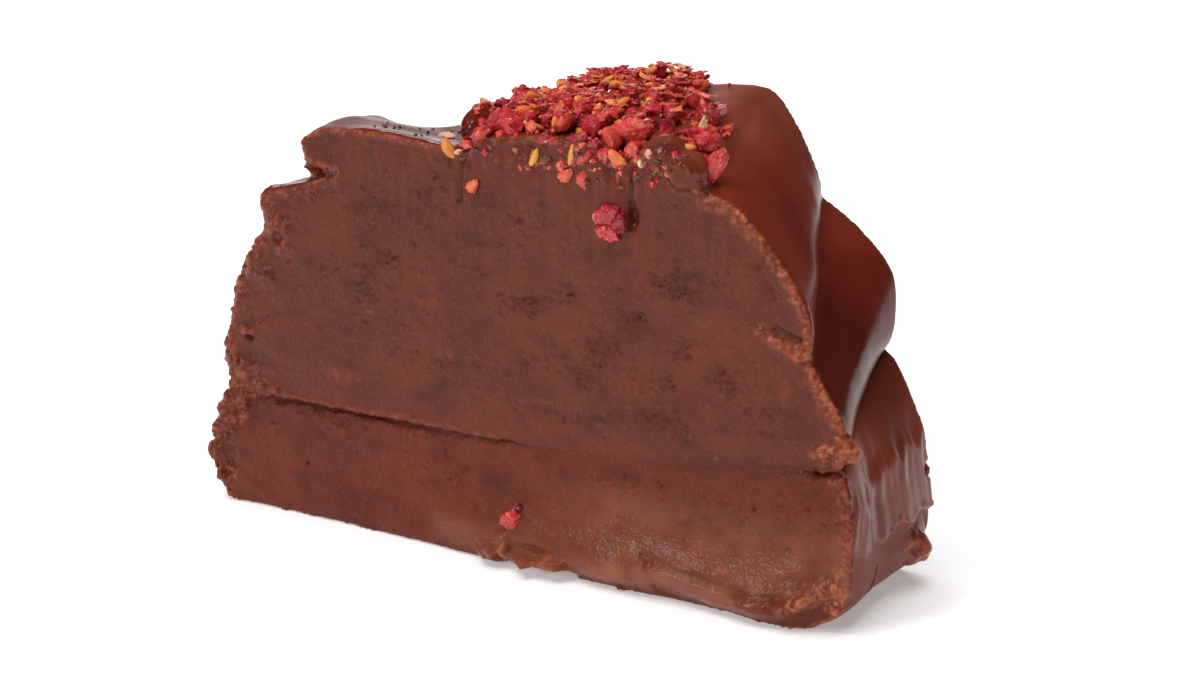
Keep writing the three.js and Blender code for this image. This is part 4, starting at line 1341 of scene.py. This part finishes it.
def make_heap(top):
    """The heap: chunks, seeds, curled scraps and dust, each kind in one piece."""
    rng = np.random.default_rng(7)
    chunk_shapes = [shape_points("chunk", 10 + k) for k in range(8)]
    bit_shapes = [shape_points("bit", 30 + k) for k in range(10)]
    seed_shapes = [shape_points("seed", 50 + k) for k in range(5)]
    crumb_shapes = [shape_points("crumb", 60 + k) for k in range(8)]
    grit_shapes = [shape_points("grit", 140 + k) for k in range(10)]
    flake_shapes = [flake_points(80 + k) for k in range(8)]
    flesh, seeds, flakes, dust, pale, brown, grit = [Scatter() for _ in range(7)]
    for i, at, size in heap_places():
        shapes = chunk_shapes if i < WHOLE_CHUNKS else bit_shapes
        turn = random_turn(rng)
        tone = any_tone(rng, 0.45, 0.25)
        flesh.add(shapes[i % len(shapes)], at, size * 1.08, turn, tone)
    for k, (kind, at, size, tone, degrees) in enumerate(CHIPS + SMALL_CHIPS):
        group = {"flesh": flesh, "seed": seeds, "pale": pale}[kind]
        shapes = {"flesh": chunk_shapes, "seed": seed_shapes, "pale": bit_shapes}[kind]
        group.add(shapes[k % len(shapes)], np.array(at), size, face_turn(degrees), tone)

    faces = [list(p.vertices) for p in top.data.polygons]
    tree = BVHTree.FromPolygons([Vector(p) for p in points_of(top)], faces)
    heap = BVHTree.FromPolygons(
        [Vector(p) for p in np.concatenate(flesh.points)], np.concatenate(flesh.faces).tolist()
    )
    trees = [tree, heap]

    def on_heap(edge=0.0):
        """A place on the heap's upper side, more often where it is deep."""
        while True:
            across, depth = rng.uniform(0.03, 0.99), rng.uniform(0.02, 0.98)
            if rng.random() > heap_cover(across, depth) * (0.35 + 0.65 * heap_dome(across, depth)) + edge:
                continue
            p = top_point(across, depth)
            hit = surface_below(trees, p[0], p[1])
            if hit is not None:
                return np.array(hit[0]), np.array(hit[1])

    for k in range(STREWN["bits"]):
        at, _ = on_heap()
        size = rng.uniform(1.2, 3.0) * np.array([1, rng.uniform(0.6, 0.9), rng.uniform(0.45, 0.7)])
        tone = any_tone(rng, 0.5, 0.28)
        on_crown = at[2] > CROWN_Z
        size[2] *= 0.5 if on_crown else 1
        grit.add(grit_shapes[k % 10], at, size, random_turn(rng, 0.15 if on_crown else 0.5), tone)
    for k in range(STREWN["scraps"]):
        at, _ = on_heap()
        long = rng.uniform(0.9, 1.9)
        size = np.array([long, long * rng.uniform(0.5, 0.8), 1.2])
        tone = any_tone(rng, 0.45, 0.3)
        flakes.add(flake_shapes[k % 8], at + [0, 0, 0.1], size, random_turn(rng, 0.4), tone)
    # shreds that lie nearly flat and the same way, over the crown
    for k in range(STREWN["shreds"]):
        at, _ = on_heap()
        if at[2] < CROWN_Z:
            continue
        size = np.array([rng.uniform(1.4, 2.8), rng.uniform(0.8, 1.4), 1.3])
        turn = Matrix.Rotation(rng.normal(0, 0.5), 3, "Z") @ Matrix.Rotation(rng.normal(0, 0.12), 3, "Y")
        flakes.add(flake_shapes[k % 8], at + [0, 0, 0.25], size, np.array(turn), any_tone(rng, 0.6, 0.3))
    for k in range(STREWN["seeds"]):
        at, _ = on_heap()
        size = np.array([2.7, 1.9, 1.7]) * rng.uniform(0.85, 1.15)
        seeds.add(seed_shapes[k % 5], at, size, random_turn(rng, 0.9), rng.uniform(0.1, 1))
    for k in range(STREWN["dust"]):
        at, _ = on_heap(0.05)
        size = rng.uniform(0.35, 1.0) * np.array([1, 0.8, 0.8])
        dust.add(crumb_shapes[k % 8], at + [0, 0, 0.1], size, random_turn(rng), any_tone(rng, 0.5, 0.3))
    # what the knife dragged down over the front edge: fewer and finer the lower they lie
    for k in range(DRAGGED_PIECES):
        cx, cz = DRAGGED_CLUMPS[k % len(DRAGGED_CLUMPS)]
        x, z = cx + rng.normal(0, 1.6), cz + rng.normal(0.9, 1.2)
        hit = tree.ray_cast(Vector((x, BEFORE_ALL, z)), Vector((0, 1, 0)))
        if hit[0] is None or hit[0].y > FRONT + 4:
            continue
        size = rng.choice([0.7, 1.1, 1.6, 2.2]) * rng.uniform(0.7, 1.2) * np.array([1, 0.7, 1])
        tone = any_tone(rng, 0.5, 0.3)
        group = rng.choice([grit, brown, pale], p=[0.32, 0.66, 0.02])
        turn = random_turn(rng)
        group.add(grit_shapes[k % 10], np.array(hit[0]) + [0, 0.2 * size[0], 0], size, turn, tone)
    for k in range(SHOULDER_FLECKS):
        x, y = rng.uniform(-30, -9), rng.uniform(FRONT + 1, 6)
        hit = surface_below([tree], x, y)
        size = rng.uniform(0.4, 0.9) * np.array([1, 0.8, 0.7])
        brown.add(crumb_shapes[k % 8], np.array(hit[0]), size, random_turn(rng), rng.uniform(0, 0.3))
    brown.add(grit_shapes[0], np.array([-12.6, -1, 59]), (3.4, 2, 1.6), random_turn(rng, 0.3), 0.5)
    for k in range(STREWN["core"]):
        at, _ = on_heap()
        size = rng.uniform(0.5, 1.3) * np.array([1, 0.7, 0.5])
        pale.add(crumb_shapes[k % 8], at, size, random_turn(rng), rng.uniform(0, 1))

    red = berry_material("freeze_dried_raspberry_flesh", "#7e1624", "#c6303a", "#f07c44", "#fcc4a4", 0.14, 0.4)
    skin = berry_material("freeze_dried_raspberry_skin", "#841828", "#c4363e", "#f0884e", "#fcc4a4", 0.16, 0.4)
    pip = berry_material("raspberry_seed_coat", "#e0b040", "#dd8c3a", "#d8643a", "#f6d48a", 0.34, 0.8)
    powder = berry_material("freeze_dried_raspberry_crumb", "#901822", "#c8383a", "#e6875a", "#f6bca6", 0.26, 0.4)
    membrane = berry_material("dried_raspberry_core", "#d98a84", "#e0a08c", "#ecd49a", "#f6e2d4", 0.45, 0.5)
    torn = berry_material("torn_chocolate_fudge", "#431910", "#6a2b1b", "#a85430", "#bd7a54", 0.26, 0.7)
    flesh.piece("raspberry_chunks", red, "top_fudge")
    seeds.piece("raspberry_seeds", pip, "top_fudge")
    flakes.piece("raspberry_scraps", skin, "top_fudge")
    grit.piece("raspberry_grit", red, "top_fudge")
    dust.piece("raspberry_crumbs", powder, "top_fudge")
    pale.piece("pale_core_scraps", membrane, "top_fudge")
    brown.piece("torn_fudge_crumbs", torn, "base_fudge")


# Camera, floor and light


# From the outline in the photo: turned to the slice's right, tilted down, and where it stands in millimetres
CAMERA_TURN, CAMERA_TILT = 31.470, 17
CAMERA_PLACE = [212.122, -335.950, 150.462]


def make_camera():
    """The photographed view: a long lens, a little above the slice and to its right."""
    data = bpy.data.cameras.new("camera")
    data.lens = 90
    data.sensor_width = 36
    data.clip_start = 0.01
    camera = bpy.data.objects.new("camera", data)
    bpy.context.scene.collection.objects.link(camera)
    turn, tilt = math.radians(CAMERA_TURN), math.radians(CAMERA_TILT)
    place = np.array(CAMERA_PLACE) - CENTRE
    right = Vector((math.cos(turn), math.sin(turn), 0))
    ahead = Vector((-math.sin(turn) * math.cos(tilt), math.cos(turn) * math.cos(tilt), -math.sin(tilt)))
    up = right.cross(ahead)
    frame_axes = Matrix((right, up, -ahead)).transposed().to_4x4()
    camera.matrix_world = Matrix.Translation(Vector(place) * MM) @ frame_axes
    bpy.context.scene.camera = camera


def area_light(name, place, target, size, power):
    """A white panel of a width and height in metres, turned to its target."""
    data = bpy.data.lights.new(name, "AREA")
    data.shape = "RECTANGLE"
    data.size, data.size_y = size
    data.energy = power
    light = bpy.data.objects.new(name, data)
    bpy.context.scene.collection.objects.link(light)
    light.location = place
    light.rotation_euler = (Vector(target) - Vector(place)).to_track_quat("-Z", "Y").to_euler()
    return light


def make_studio():
    choose()
    bpy.ops.mesh.primitive_plane_add(size=6)
    floor = bpy.context.object
    floor.name = "floor"
    material = bpy.data.materials.new("white_sweep")
    material.use_nodes = True
    settings = {"Base Color": colour("#f4f4f4"), "Roughness": 0.9, "Specular IOR Level": 0.0}
    settings.update({"Emission Color": (1, 1, 1, 1), "Emission Strength": 0.3})
    for name, value in settings.items():
        material.node_tree.nodes["Principled BSDF"].inputs[name].default_value = value
    floor.data.materials.append(material)
    world = bpy.data.worlds.new("studio")
    world.use_nodes = True
    world.node_tree.nodes["Background"].inputs["Color"].default_value = (1, 1, 1, 1)
    world.node_tree.nodes["Background"].inputs["Strength"].default_value = 0.07
    bpy.context.scene.world = world
    overhead = area_light("overhead", (-0.15, 0, 1.3), (0, 0, 0), (1.6, 1.5), 20)
    overhead.visible_glossy = False
    area_light("key", (-0.38, -0.98, 0.5), (0, 0, 0.03), (0.3, 0.24), 3.9)
    area_light("glint", (-0.25, -0.55, 0.95), (0, 0, 0.04), (0.18, 0.18), 1.9)
    area_light("back_left", (-0.62, 0.86, 0.36), (0, 0, 0.05), (0.34, 0.18), 0.6)
    bpy.context.scene.view_settings.view_transform = "Standard"


def dress_block(block, node_name, material):
    """Gives a finished block its material, and lets it stand for its solid."""
    settle(block)
    block.data.materials.clear()
    block.data.materials.append(material)
    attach(block, "root")
    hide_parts(node_name)


make_camera()
make_studio()
top_block, base_block = make_blocks()
make_heap(top_block)
cut_fudge = fudge_material("cut_chocolate_fudge", "#5e2818", "#6a2f1c", "#762b1b", "#621d10", 0.25)
pressed_fudge = fudge_material("pressed_chocolate_fudge", "#5f2412", "#6d2d17", "#7e3826", "#68281a", 0.22)
dress_block(top_block, "top_layer", cut_fudge)
dress_block(base_block, "base_layer", pressed_fudge)
